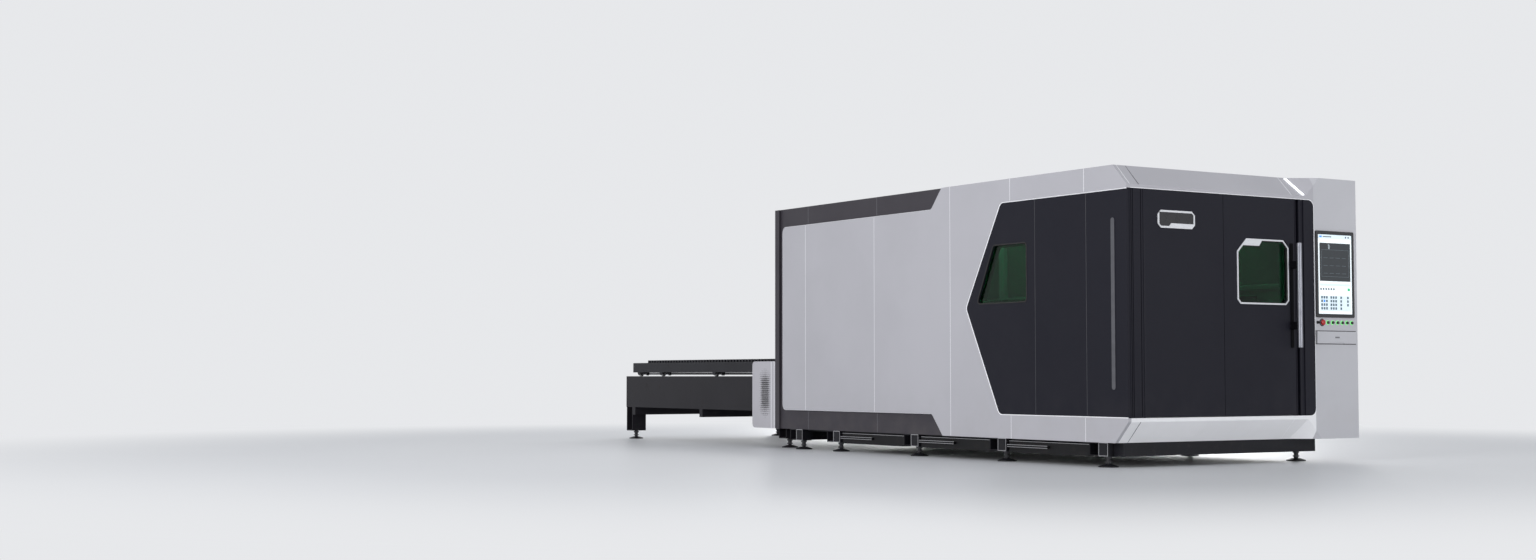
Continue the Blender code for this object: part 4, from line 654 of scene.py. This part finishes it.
cover_low, cover_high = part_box("drive_cover_left")
cover_size = cover_high - cover_low
vent_middle = (cover_low[1] + 0.5 * cover_size[1], cover_low[2] + 0.53 * cover_size[2])
vent_half = (0.21 * cover_size[1], 0.38 * cover_size[2])
vented_coat = punch(powder_coat("vented_powder_coat", (0.44, 0.43, 0.465), 0.36), vent_middle, vent_half,
                    pitch=0.018, hole=0.0086)

BUTTONS = [f"push_button_{k}" for k in range(1, 7)]
dress(light_coat, "left_cladding right_side_wall roof_panel fascia_top head_carriage")
dress(console_coat, "console_cabinet keyboard_drawer")
# The lower fascia's paint is painted light: a lighter copy of the light paint.
dress(painted_light_fascia_coat, "fascia_bottom")
dress(vented_coat, "drive_cover_left drive_cover_right")
dress(dark_coat, "left_window_panel corner_post door_leaf_left door_leaf_right door_jamb")
dress(border_coat, "left_border_frame rear_wall gantry_beam")
dress(frame_black, "base_frame")
dress(table_paint, "table_frame")
dress(bed_paint, "machine_bed")
dress(tray_paint, "slag_drawer_1 slag_drawer_2 slag_drawer_3")
dress(green_glass, "side_window_glass door_window_glass")
dress(silver, "door_window_rim")
dress(handle_steel, "door_handle")
dress(badge_silver, "badge_plate")
dress(strip_lens, "side_light_strip")
dress(lamp_lens, "fascia_light_bar")
dress(black_plastic, "handle_post_lower handle_post_upper monitor_bezel key_switch")
dress(screen_glass, "monitor_screen")
dress(red_plastic, "emergency_stop")
dress(button_black, " ".join(BUTTONS))
dress(ground_steel, "guide_rail_left guide_rail_right cutting_head")
dress(turned_steel, " ".join(f"{side}_wheels_{k}" for side in ("upper", "lower") for k in range(1, 5)))
dress(pallet_black, "upper_pallet lower_pallet")
print("dressed", len(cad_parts), "solids")

# %% [markdown]
# ## Edges and seals of the long side
#
# The light cladding is a folded sheet, and the light that its turned-in edges catch is painted as a
# thin near-white line round the dark panel and along the dark border. The panes sit in black rubber.
# Each is one small profile carried round an outline, so a corner can't open.

# %% Painted highlights on the edges
SKIN_LOW, SKIN_HIGH = 0.1815, 2.199
CLADDING = [(2.18, SKIN_LOW), (2.325, 0.356), (4.587, 0.356), (4.587, 2.03), (2.325, 2.03), (2.18, SKIN_HIGH)]
SHARP = 0.0004
HEX = [(0.001, 0.362), (1.46, 0.362), (1.872, 1.2053), (1.43, 2.022), (0.001, 2.022)]
hexagon = rounded(HEX, [SHARP, 0.06, 0.06, 0.06, SHARP])[4:-4]
bevel = [(-0.0002, 0.0042), (-0.0002, 0.0002), (-0.002, 0.0002), (-0.0065, 0.0042)]
# Painted highlight: a near-white bevel round the dark hexagon panel.
make("hexagon_painted_highlight_edge", trim(hexagon, bevel, "X", closed=False), painted_highlight_edge)

# Painted highlight: a near-white lip along the edge of the light cladding.
border_line = rounded(CLADDING, [SHARP, 0.02, 0.05, 0.05, 0.02, SHARP])[4:-4]
lip = [(0.0002, 0.0015), (0.0022, 0.003), (0.0026, 0.029), (0.0002, 0.029)]
make("cladding_painted_highlight_edge", trim(border_line, lip, "X", closed=False), painted_highlight_edge)

# %% Rubber round the panes and in the door's seam
WINDOW = rounded([(1.12, 1.235), (1.73, 1.235), (1.52, 1.69), (1.12, 1.69)], 0.03)
seal = [(-0.0045, 0.0044), (-0.0045, 0.002), (-0.003, 0.0008), (0.004, 0.0008), (0.006, 0.0038),
        (0.0, 0.0044)]
make("side_window_seal", trim(WINDOW, seal, "X"), rubber)

TAB = [(1.365, 1.695), (1.335, 1.655), (1.165, 1.655)]
PANE = [(1.14, 1.21), (1.62, 1.21), (1.65, 1.24), (1.65, 1.64), (1.595, 1.695), *TAB, (1.11, 1.6), (1.11, 1.24)]
AROUND = PANE[:5] + [(1.365, 1.695), (1.335, 1.695), (1.205, 1.695)] + PANE[8:]
RIM_STEPS = np.array([(0.0, -0.0002), (0.0, -0.0048), (0.1, -0.006), (0.9, -0.006), (1.0, -0.0048),
                      (1.0, -0.0002)])
RIM_OUT, RIM_IN = 0.005, 0.0075


def window_rim():
    """A flat ring between two outlines with the same corners: point = outer + share times (inner -
    outer), at the height of each step of its section. The inner outline steps down for the tab."""
    outer = np.array(AROUND) + RIM_OUT * mitres(AROUND)
    inner = np.array(PANE) - RIM_IN * mitres(PANE)
    share, height = RIM_STEPS[None, :, :1], RIM_STEPS[None, :, 1]
    flat = outer[:, None] + share * (inner - outer)[:, None]
    return standing(flat, height, "Y"), closed_ring(len(PANE), len(RIM_STEPS))


rim = make("door_window_rim_fine", window_rim(), silver, "door_right")
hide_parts("door_window_rim")
PANE_SEAL = [(-0.0073, -0.004), (-0.011, -0.0036), (-0.0125, 0.009), (-0.0073, 0.009)]
make("door_window_seal", trim(PANE, PANE_SEAL, "Y"), rubber, "door_right")

leaf_low, leaf_high = local("door_leaf_right")
DOOR_SEAM = 0.96757
seam_outline = oblong(DOOR_SEAM - 0.0019, 0.006, DOOR_SEAM + 0.0016, 0.016, 0.001, steps=4)
make("door_seam_seal", plate(seam_outline, leaf_low[2] + 0.004, leaf_high[2] - 0.004, 0.001, "Z"), rubber,
     "door_left")

# %% [markdown]
# ## Seams and folds with painted highlights
#
# The long skins are made of several sheets. Where two of them meet, the folded edges stand side by
# side in a groove, and the light they catch is painted as a fine near-white line. So is the light on
# the folded edge of the light frame round the door. On the dark panel and the dark border the seam
# beads are painted only a little lighter than the paint, as a fainter painted highlight.

# %% Seam lines with painted highlights
def strip(y, low, high, inner, outer, width=0.0052):
    """A thin upright bead over a seam of the long side, with eased corners."""
    return plate(oblong(y - width / 2, low, y + width / 2, high, 0.001), inner, outer, EASE, "X")


SEAM_LOW = 0.182
FRAME_SEAMS, WALL_SEAMS = (0.455, 1.31), (3.1316, 4.202)
light_seams = [(y, *ends) for y in FRAME_SEAMS for ends in ((2.026, SKIN_HIGH), (SEAM_LOW, 0.358))]
light_seams += [(2.0705, SEAM_LOW, SKIN_HIGH), *[(y, 0.36, 2.026) for y in WALL_SEAMS]]
# Painted highlight: near-white beads over the seams of the light cladding.
make("cladding_seam_highlights", joined(*[strip(*facts, 0.0036, 0.0001) for facts in light_seams]), painted_highlight_edge)
# Painted highlight: seam beads on the dark panel and the dark border, lighter than their paint.
make("panel_seam_highlights", joined(*[strip(y, 0.37, 2.014, 0.0076, 0.0036, 0.0046) for y in (0.44, 1.0203)]),
     seam_highlight_steel)
border_seams = [(y, low, high) for y in WALL_SEAMS for low, high in ((2.036, 2.1985), (0.183, 0.35))]
make("border_seam_highlights", joined(*[strip(*facts, 0.0334, 0.0299, 0.0042) for facts in border_seams]),
     border_seam_highlight_steel)

# %% Rear lip of the border and painted highlights on the folds of the drive covers
lip_outline = [(0.01, 4.66), (0.0297, 4.66), (0.0297, 4.6945), (0.0195, 4.6945), (0.0195, 4.73), (0.01, 4.73)]
make("border_rear_lip", plate(rounded(lip_outline, 0.002, 3), SKIN_LOW, SKIN_HIGH, 0.001, "Z"), border_coat)
cover_near = cover_low[1] - CORNER[1]
# Painted highlight: near-white beads on the two folds of each drive cover.
folds = joined(*[strip(cover_near + offset, 0.183, 0.797, 0.0202, 0.0192, 0.006)
                 for offset in (0.066, 0.118)])
make("drive_cover_fold_highlights", joined(folds, mirror(folds)), painted_highlight_edge)

# %% Painted highlight on the fold round the door
OPENING = [(0.034, 2.0232), (1.9392, 2.0232), (1.9392, 0.3608), (0.034, 0.3608)]
door_line = rounded(OPENING, [SHARP, 0.056, 0.056, SHARP])[4:-4]
fold = [(-0.0002, 0.0004), (-0.0002, -0.0004), (-0.003, -0.0008), (-0.0045, 0.0004)]
# Painted highlight: a near-white line along the folded edge of the frame round the door.
make("door_frame_painted_highlight_edge", trim(door_line, fold, "Y", closed=False), painted_highlight_edge)

SLOPE_BACK = 0.1395
SLOPES = {"top": (2.052, SKIN_HIGH, 1.0), "bottom": (0.332, SEAM_LOW, -1.0)}


def slope_line(x, width, fascia):
    """A thin bead down the slope of a fascia, from the edge over the door to the outer edge: four
    stations along the slope by four corners of its section, lifted off the face by its normal."""
    low, high, sign = SLOPES[fascia]
    start, end = np.array([x, 0.0, low]), np.array([x, SLOPE_BACK, high])
    normal = np.array([0.0, -(end[2] - start[2]), end[1] - start[1]]) * sign
    normal /= np.linalg.norm(normal)
    share = np.linspace(0.0, 1.0, 4)[:, None, None]
    section = np.array(rectangle(-width / 2, -0.0008, width / 2, 0.0004))
    offset = section[:, :1] * np.array([1.0, 0.0, 0.0]) + section[:, 1:] * normal
    points = (start + share * (end - start)[None, None, :] + offset[None]).reshape(-1, 3)
    return points, capped(4, 4, flip=True)


make("fascia_corner_joints", joined(*[slope_line(0.12, 0.004, fascia) for fascia in SLOPES]), rubber)
# Painted highlight: near-white beads along the folds of both fascias.
folds = [slope_line(x, 0.0034, fascia) for x in (0.032, 1.7) for fascia in SLOPES]
make("fascia_fold_highlights", joined(*folds), painted_highlight_edge)

# %% Tube ends and tray lips of the base
ROWS = (0.3, 1.46, 2.6, 3.75, 4.35)
tube_end = oblong(-0.0496, 0.0811, 0.0496, 0.1796, 0.003, steps=4)
tube_lip = [(0.0, 0.0304), (0.0, 0.0294), (-0.004, 0.0294), (-0.0044, 0.0304)]
left_ends = copies(*trim(tube_end, tube_lip, "X"), [(0.0, y, 0.0) for y in ROWS])
make("tube_end_edges", joined(left_ends, mirror(left_ends)), worn_edge)
beads = [oblong(0.0212, z, 0.0248, z + 0.0034, 0.001) for z in (0.116, 0.1326)]
brow = oblong(0.045, 0.1602, 0.0486, 0.1638, 0.001)
for index in range(3):
    near, far = ROWS[index] + 0.171, ROWS[index + 1] - 0.071
    grip = near + 0.48 * (far - near)
    edges = [plate(bead, far, grip, EASE, "Y") for bead in beads] + [plate(brow, far, near, EASE, "Y")]
    make(f"tray_lip_edges_{index + 1}", joined(*edges), worn_edge, f"scrap_tray_{index + 1}")

# %% [markdown]
# ## The console
#
# The screen shows a nesting program: a dark drawing area over rows of keys. Each tile is a thin
# plate with eased edges, and its colour is an attribute of its faces, so that one material serves
# them all. No key carries any lettering.

# %% Tiles of the screen
screen_low, screen_high = local("monitor_screen")
screen_size = (screen_high - screen_low)[[0, 2]]
PALE, WHITE, DARK, GREY = (0.6, 0.7, 0.76), (0.78, 0.85, 0.88), (0.018, 0.022, 0.026), (0.1, 0.13, 0.15)
BLUE, GREEN, KEY = (0.02, 0.22, 0.7), (0.05, 0.45, 0.2), (0.07, 0.11, 0.14)
tiles = [(0.012, 0.012, 0.988, 0.988, WHITE, 0), (0.012, 0.935, 0.988, 0.988, PALE, 1),
         (0.05, 0.415, 0.95, 0.885, DARK, 1), (0.05, 0.355, 0.95, 0.385, PALE, 1),
         (0.05, 0.045, 0.95, 0.235, PALE, 1)]
tiles += [(0.06 + 0.075 * k, 0.305, 0.1 + 0.075 * k, 0.33, GREY, 1) for k in range(6)]
tiles += [(0.86, 0.3, 0.93, 0.332, GREEN, 1), (0.8, 0.952, 0.84, 0.972, GREY, 2),
          (0.88, 0.952, 0.92, 0.972, GREY, 2), (0.05, 0.952, 0.12, 0.972, BLUE, 2),
          (0.15, 0.956, 0.4, 0.968, GREY, 2)]
columns = [0.08, 0.15, 0.22, 0.35, 0.42, 0.49, 0.64, 0.84]
keys = [(x, z) for x in columns for z in (0.065, 0.11, 0.155, 0.2) if not (x == 0.84 and z < 0.08)]
tiles += [(x, z, x + 0.048, z + 0.03, BLUE if (x, z) == (0.15, 0.155) else KEY, 2) for x, z in keys]
tiles += [(0.3, 0.86 - 0.012 * k, 0.34 + 0.01 * (k % 3), 0.864 - 0.012 * k, PALE, 2) for k in range(5)]
tiles += [(*ends, GREY, 2) for ends in ((0.1, 0.47, 0.9, 0.4725), (0.1, 0.8, 0.9, 0.8025),
                                        (0.1, 0.47, 0.104, 0.8025), (0.896, 0.47, 0.9, 0.8025))]
tiles += [(0.16 + 0.18 * i, 0.51 + 0.095 * j, 0.28 + 0.18 * i, 0.513 + 0.095 * j, GREY, 2)
          for i in range(4) for j in range(3)]


def tile(left, low, right, high, layer):
    """A plate over its share of the screen, lifted by its layer."""
    corners = np.array(rectangle(left, low, right, high)) * screen_size
    corners += screen_low[[0, 2]]
    front = screen_low[1] - 0.0004 * layer
    return plate(corners, front, front - 0.0004, 0.0001, "Y")


parts = [tile(*ends, layer) for *ends, colour, layer in tiles]
colours = [colour + (1.0,) for *ends, colour, layer in tiles]
shades = np.concatenate([np.tile(colour, (len(part[1]), 1)) for colour, part in zip(colours, parts)])


def screen_paint(name):
    """A lit display: its colour is the faces' attribute, glowing evenly behind smooth glass, with a
    faint haze of finger marks in the gloss."""
    material, shader, place = start(name)
    colour = add(shader, "VertexColor", layer_name="tint").outputs["Color"]
    grid = level(noise(place, 240.0, 1.0), 0.3, 0.7, 0.94, 1.0)
    feed(shader, {"Base Color": blended(1.0, colour, grid, "MULTIPLY"), "Emission Color": colour,
                  "Emission Strength": 0.55, "Roughness": level(noise(place, 18.0, 7.0), 0.4, 0.7, 0.1, 0.26)})
    return material


screen_tiles = make("screen_tiles", joined(*parts), screen_paint("lit_display"))
tint = screen_tiles.data.color_attributes.new("tint", "FLOAT_COLOR", "CORNER")
corner_count = np.empty(len(screen_tiles.data.polygons), np.int32)
screen_tiles.data.polygons.foreach_get("loop_total", corner_count)
counts = [len(face) for part in parts for group in by_size(part[1]) for face in group]
assert counts == corner_count.tolist()
tint.data.foreach_set("color", np.repeat(shades, corner_count, axis=0).ravel())
print("screen tiles:", len(tiles))

# %% Label, badge field and button collars
CONSOLE_FACE = -0.0004
tray_low, tray_high = local("keyboard_drawer")
label = oblong(2.15, 0.958, 2.2, 0.97, 0.002, steps=5)
make("drawer_label", plate(label, tray_low[1] + 0.0002, tray_low[1] - 0.0006, 0.0003, "Y"), blank_label,
     "keyboard")
front_low, front_high = tray_low + [-0.0004, 0, -0.0004], tray_high + [0.0004, 0, 0.0004]
shadow = [(0.0, 0.0), (0.0, -0.001), (0.0056, -0.001), (0.0058, 0.0)]
make("drawer_shadow_line", trim(rectangle(*front_low[[0, 2]], *front_high[[0, 2]]), shadow, "Y"), rubber)
field = [(0.3303, 1.7594), (0.4097, 1.7594), (0.4317, 1.7814), (0.6556, 1.7814),
         (0.6556, 1.8468), (0.6398, 1.8606), (0.3144, 1.8606), (0.3144, 1.7732)]
badge_front = local("badge_plate")[0][1]
make("badge_field", plate(field, badge_front + 0.0031, badge_front + 0.0014, 0.0004, "Y"), badge_dark,
     "door_left")

# Painted shadow: a black plate behind the handle and black blocks round its two posts stand where the handle
# casts its shadow on the door.
handle_low, handle_high = local("door_handle")
handle_x = middle("door_handle")[0]
back = oblong(handle_x - 0.016, handle_low[2], handle_x + 0.016, handle_high[2], 0.005, steps=5)
blocks = [plate(back, -0.0004, -0.0045, 0.0012, "Y")]
for post in ("handle_post_lower", "handle_post_upper"):
    height = middle(post)[2]
    block = oblong(handle_x - 0.021, height - 0.029, handle_x + 0.021, height + 0.029, 0.006, steps=5)
    blocks.append(plate(block, -0.004, handle_high[1] - 0.0006, 0.002, "Y"))
make("handle_shadow_mounts", joined(*blocks), handle_shadow_black, "door_right")

COLLAR = [(0.0132, 0.0), (0.0165, 0.0), (0.0165, -0.0016), (0.0155, -0.0026), (0.0138, -0.0026),
          (0.0132, -0.0018)]
button_places = [(x, CONSOLE_FACE, z) for x, _, z in map(middle, BUTTONS)]
make("button_collars", copies(*turned(COLLAR, 32, "Y", ring=True), button_places), green_lens,
     smooth=True)
STOP_COLLAR = [(0.0232, 0.0), (0.0295, 0.0), (0.029, -0.0012), (0.0232, -0.0013)]
stop_x, _, stop_z = middle("emergency_stop")
make("stop_collar", copies(*turned(STOP_COLLAR, 40, "Y", ring=True), [(stop_x, CONSOLE_FACE, stop_z)]),
     black_plastic, smooth=True)

CAP = [(0.01, 0.0155), (0.0212, 0.0155), (0.0224, 0.014), (0.0224, 0.01), (0.0205, 0.0058), (0.016, 0.0022),
       (0.009, 0.0002), (0.002, -0.0004)]
stop_front = local("emergency_stop")[0][1]
make("stop_cap", copies(*turned(CAP, 36, "Y"), [(stop_x, stop_front, stop_z)]), red_plastic,
     "stop_button", smooth=True)

# %% [markdown]
# ## Pallets
#
# A sheet lies on the points of thin upright slats, so that the beam has little to hit. The solids
# carry a plain row of them. Here each pallet is made again with its full row: folded side beams
# that open downwards over the wheels, end beams, bearers, and one serrated slat every 57
# millimetres. A slat is a grid: along it, the top edge follows a triangle wave.

# %% Pallet frames and slats
PALLET_LEFT, PALLET_RIGHT, PALLET_LENGTH = 0.14, 2.04, 3.03
BEAM, SHEET, CHANNEL = 0.1, 0.01, 0.11
BEAM_RISE, AXLE_RISE, HOLDER_RISE = 0.04, 0.0278, 0.1395
AXLES, BEARERS = (0.087, 0.4435, 0.8, 0.9575), (0.33, 0.66)
SLAT_COUNT, SLAT_FIRST, SLAT_SPAN, TOOTH = 47, 0.084, 2.623, 0.03
LUG_X, LUG_Z = [0.0, 0.004, 0.015, 0.019], [0.112, 0.127, 0.127, 0.096]


def rail_beam(front, low):
    """An upside-down channel with rounded folds, carried along the pallet."""
    left, right, high = PALLET_LEFT, PALLET_LEFT + CHANNEL, low + BEAM
    outline = [(left, low), (left + SHEET, low), (left + SHEET, high - SHEET), (right - SHEET, high - SHEET),
               (right - SHEET, low), (right, low), (right, high), (left, high)]
    outline = rounded(outline, [0.001, 0.001, 0.004, 0.004, 0.001, 0.001, 0.009, 0.009], 4)
    return plate(outline, front + PALLET_LENGTH, front, EASE, "Y")


def bar(inset, near, far, low, high):
    """A rectangular section with eased corners, carried across the pallet between its two sides."""
    return plate(oblong(near, low, far, high, 0.003), PALLET_LEFT + inset, PALLET_RIGHT - inset, 0.0006, "X")


def serrated(y, low):
    """One slat as a grid of stations by four corners. Its top edge is a triangle wave, sampled at
    its peaks and valleys, between two taller lugs that keep the sheet from sliding off."""
    left, right = PALLET_LEFT + CHANNEL - 0.0005, PALLET_RIGHT - CHANNEL + 0.0005
    teeth = int((right - left - 0.048) / TOOTH)
    stations = np.linspace(left + 0.024, right - 0.024, 2 * teeth + 1)
    x = np.concatenate([left + np.array(LUG_X), stations, right - np.array(LUG_X)[::-1]])
    wave = 0.108 - 0.014 * (np.arange(2 * teeth + 1) % 2 == 0)
    top = low + np.concatenate([LUG_Z, wave, LUG_Z[::-1]])
    bottom = np.full_like(x, low + 0.035)
    front, back = np.full_like(x, y - 0.0015), np.full_like(x, y + 0.0015)
    ring = [np.stack([x, side, height], -1)
            for side, height in ((front, bottom), (back, bottom), (back, top), (front, top))]
    return np.stack(ring, 1).reshape(-1, 3), capped(len(x), 4, flip=True)


def pallet_parts(front, rail):
    """Everything of one pallet's frame: beams, end beams, bearers, ears with a rounded foot round
    each axle, and the small three-cornered guards that hang outside each wheel."""
    low = rail + BEAM_RISE
    high = low + BEAM
    beam = rail_beam(front, low)
    parts = [beam, mirror(beam)]
    parts += [bar(0.006, y + 0.0004, y + 0.0496, high - 0.075, high - 0.0006) for y in (front, front + 2.98)]
    for share in BEARERS:
        y = front + PALLET_LENGTH * share
        parts.append(bar(CHANNEL - 0.004, y, y + 0.05, high - 0.075, low + 0.045))
    for share in AXLES:
        y, axle = front + PALLET_LENGTH * share, rail + AXLE_RISE
        ear = oblong(y - 0.03, axle - 0.02, y + 0.03, low + 0.004, [0.018, 0.018, 0.001, 0.001], steps=5)
        inner = plate(ear, PALLET_LEFT + CHANNEL - SHEET, PALLET_LEFT + CHANNEL - 0.0004, 0.0006, "X")
        guard = [(y - 0.01, rail + 0.012), (y + 0.014, rail + 0.012), (y + 0.04, low + 0.003),
                 (y - 0.034, low + 0.003)]
        guard = rounded(guard, [0.006, 0.006, 0.001, 0.001])
        outer = plate(guard, PALLET_LEFT + 0.006, PALLET_LEFT + 0.0004, 0.0006, "X")
        parts += [inner, mirror(inner), outer, mirror(outer)]
    return joined(*parts)


PALLETS = {"upper": (4.716, 0.66, "top_pallet"), "lower": (1.366, 0.349, "bottom_pallet")}
for level_name, (front, rail, body) in PALLETS.items():
    pallet_frame = make(f"{level_name}_pallet_frame", pallet_parts(front, rail), pallet_black,
                        body)
    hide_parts(f"{level_name}_pallet")
    places = np.zeros((SLAT_COUNT, 3))
    places[:, 1] = front + SLAT_FIRST + SLAT_SPAN * np.arange(SLAT_COUNT) / (SLAT_COUNT - 1)
    make(f"{level_name}_pallet_slats", copies(*serrated(0.0, rail + BEAM_RISE), places), slat_steel,
         body)
    low = rail + HOLDER_RISE
    holder = oblong(-0.0135, low, 0.0135, rail + 0.166, [0.001, 0.001, 0.009, 0.009], steps=4)
    holders = copies(*plate(holder, PALLET_LEFT + 0.05, PALLET_LEFT + 0.008, 0.002, "X"), places)
    make(f"{level_name}_slat_holders", joined(holders, mirror(holders)), pallet_black, body)
    left = PALLET_LEFT + 0.0505
    comb = oblong(left, low, left + 0.004, low + 0.02, 0.0015)
    comb = plate(comb, places[-1, 1] + 0.02, places[0, 1] - 0.02, 0.001, "Y")
    make(f"{level_name}_slat_comb", joined(comb, mirror(comb)), zinc, body)
print("slat pitch:", round(1000 * SLAT_SPAN / (SLAT_COUNT - 1), 1), "mm")

# %% [markdown]
# ## Feet, screws and cabin lamps
#
# The machine stands on threaded feet, each with a lock nut under the frame. A thread is a helix:
# its radius is a wave of height minus turn, so the crest climbs one pitch each time round.

# %% Threads and lock nuts
THREAD_DEPTH = 0.0012


def thread(radius, low, high, pitch, sides=20):
    """A threaded rod: r = radius + depth times the triangle wave of (z / pitch - turn)."""
    rows = int((high - low) / pitch * 4) + 1
    z = np.linspace(low, high, rows)[:, None]
    turn = np.linspace(0.0, 1.0, sides, endpoint=False)[None, :]
    wave = np.abs(2.0 * ((z / pitch - turn) % 1.0) - 1.0)
    return around(radius + THREAD_DEPTH * wave, 2 * np.pi * turn, z), capped(rows, sides)


def nut(across, low, high, sides=36):
    """A hexagon with its corners turned off: radius at an angle is the smaller of the flat's
    a / cos(angle from the flat) and the chamfer's, on four rings."""
    angle = np.linspace(0.0, 2.0 * np.pi, sides, endpoint=False)
    flat = (across / 2) / np.cos((angle + np.pi / 6) % (np.pi / 3) - np.pi / 6)
    ease = 0.1 * (high - low)
    face, rim = np.minimum(flat, 0.535 * across), np.minimum(flat, 0.57 * across)
    rings = [(face, low), (rim, low + ease), (rim, high - ease), (face, high)]
    return np.concatenate([around(r, angle, z) for r, z in rings]), capped(len(rings), sides)


base_feet = [(x, y, 0.0) for x in (0.08, 2.04) for y in ROWS]
table_feet = [(x, y, 0.0) for x in (0.195, 1.985) for y in (4.763, 7.775)]
foot = joined(thread(0.0174, 0.034, 0.08, 0.004), nut(0.046, 0.063, 0.0798), nut(0.046, 0.033, 0.043))
for name, feet in (("base", base_feet), ("table", table_feet)):
    make(f"{name}_foot_threads", copies(*foot, feet), black_zinc)

# %% Button-head screws
DOME = [(0.0001, 0.0032), (0.003, 0.003), (0.0034, 0.0016), (0.0046, 0.0024), (0.0068, 0.0012),
        (0.0075, -0.0002)]
SUNK, SCREW_ROWS = 0.0034, (0.235, 2.15)
wall_x = local("right_side_wall")[1][0] - SUNK
side_places = [(wall_x, y, z) for y in np.linspace(0.62, 4.55, 10) for z in SCREW_ROWS]
rear_x, rear_y = np.linspace(0.16, 2.02, 6), local("rear_wall")[1][1] - SUNK
rear_places = [(x, rear_y, z) for x in rear_x for z in SCREW_ROWS] + [(x, rear_y, 0.9) for x in rear_x]
roof_z = HOUSE_HIGH - SUNK
roof_places = [(x, y, roof_z) for x in (0.12, 2.06) for y in np.linspace(0.45, 4.58, 10)]
roof_places += [(x, 4.6, roof_z) for x in np.linspace(0.35, 1.8, 5)]
for name, axis, places in (("side_wall", "X", side_places), ("rear_wall", "Y", rear_places),
                           ("roof", "Z", roof_places)):
    make(f"{name}_screws", copies(*turned(DOME, 14, axis), places), zinc, smooth=True)

# %% Lamps inside the cabin
ceiling = local("roof_panel")[0][2]


def wedge(x, low, low_half, high, high_half, radius):
    """A section that is wider above than below, with its lower corners rounded."""
    corners = [(x - low_half, low), (x + low_half, low), (x + high_half, high), (x - high_half, high)]
    return rounded(corners, [radius, radius, 0.001, 0.001])


for name, x in (("left", 0.36), ("right", 1.8)):
    housing = wedge(x, ceiling - 0.034, 0.03, ceiling - 0.0004, 0.04, 0.008)
    lens = wedge(x, ceiling - 0.04, 0.022, ceiling - 0.0335, 0.024, 0.005)
    make(f"cabin_lamp_housing_{name}", plate(housing, 0.8, 4.2, 0.002, "Y"), black_plastic)
    make(f"cabin_lamp_{name}", plate(lens, 0.84, 4.16, 0.002, "Y"), cabin_lens)

# %% Posts of the cabin frame, seen through the side window
POST_NEAR, POST_FAR, GIRDER_LOW, GIRDER_HIGH, CABIN_HIGH = 2.052, 2.1035, 1.36, 1.4, 2.15
posts = [plate(oblong(POST_NEAR, y, POST_FAR, y + 0.07, 0.006), GIRDER_HIGH, CABIN_HIGH, 0.002, "Z")
         for y in (2.52, 3.24, 3.9)]
girder = plate(oblong(POST_NEAR, GIRDER_LOW, POST_FAR, GIRDER_HIGH, 0.006), 0.45, 4.59, 0.002, "Y")
make("cabin_posts", joined(*posts, girder), light_coat)
lining = oblong(0.44, GIRDER_HIGH, 4.6, CABIN_HIGH, 0.004)
make("cabin_lining", plate(lining, 2.1085, 2.1045, 0.001, "X"), lining_coat)

# %% Nozzle
NOZZLE = [(0.0165, 0.026), (0.02, 0.026), (0.02, 0.019), (0.0185, 0.018), (0.0125, 0.004), (0.0105, 0.0035)]
tip = [*middle("cutting_head")[:2], local("cutting_head")[0][2]]
make("cutting_nozzle", copies(*turned(NOZZLE, 28), [tip]), copper, "head", smooth=True)
print("head tip at", np.round(tip, 4).tolist())
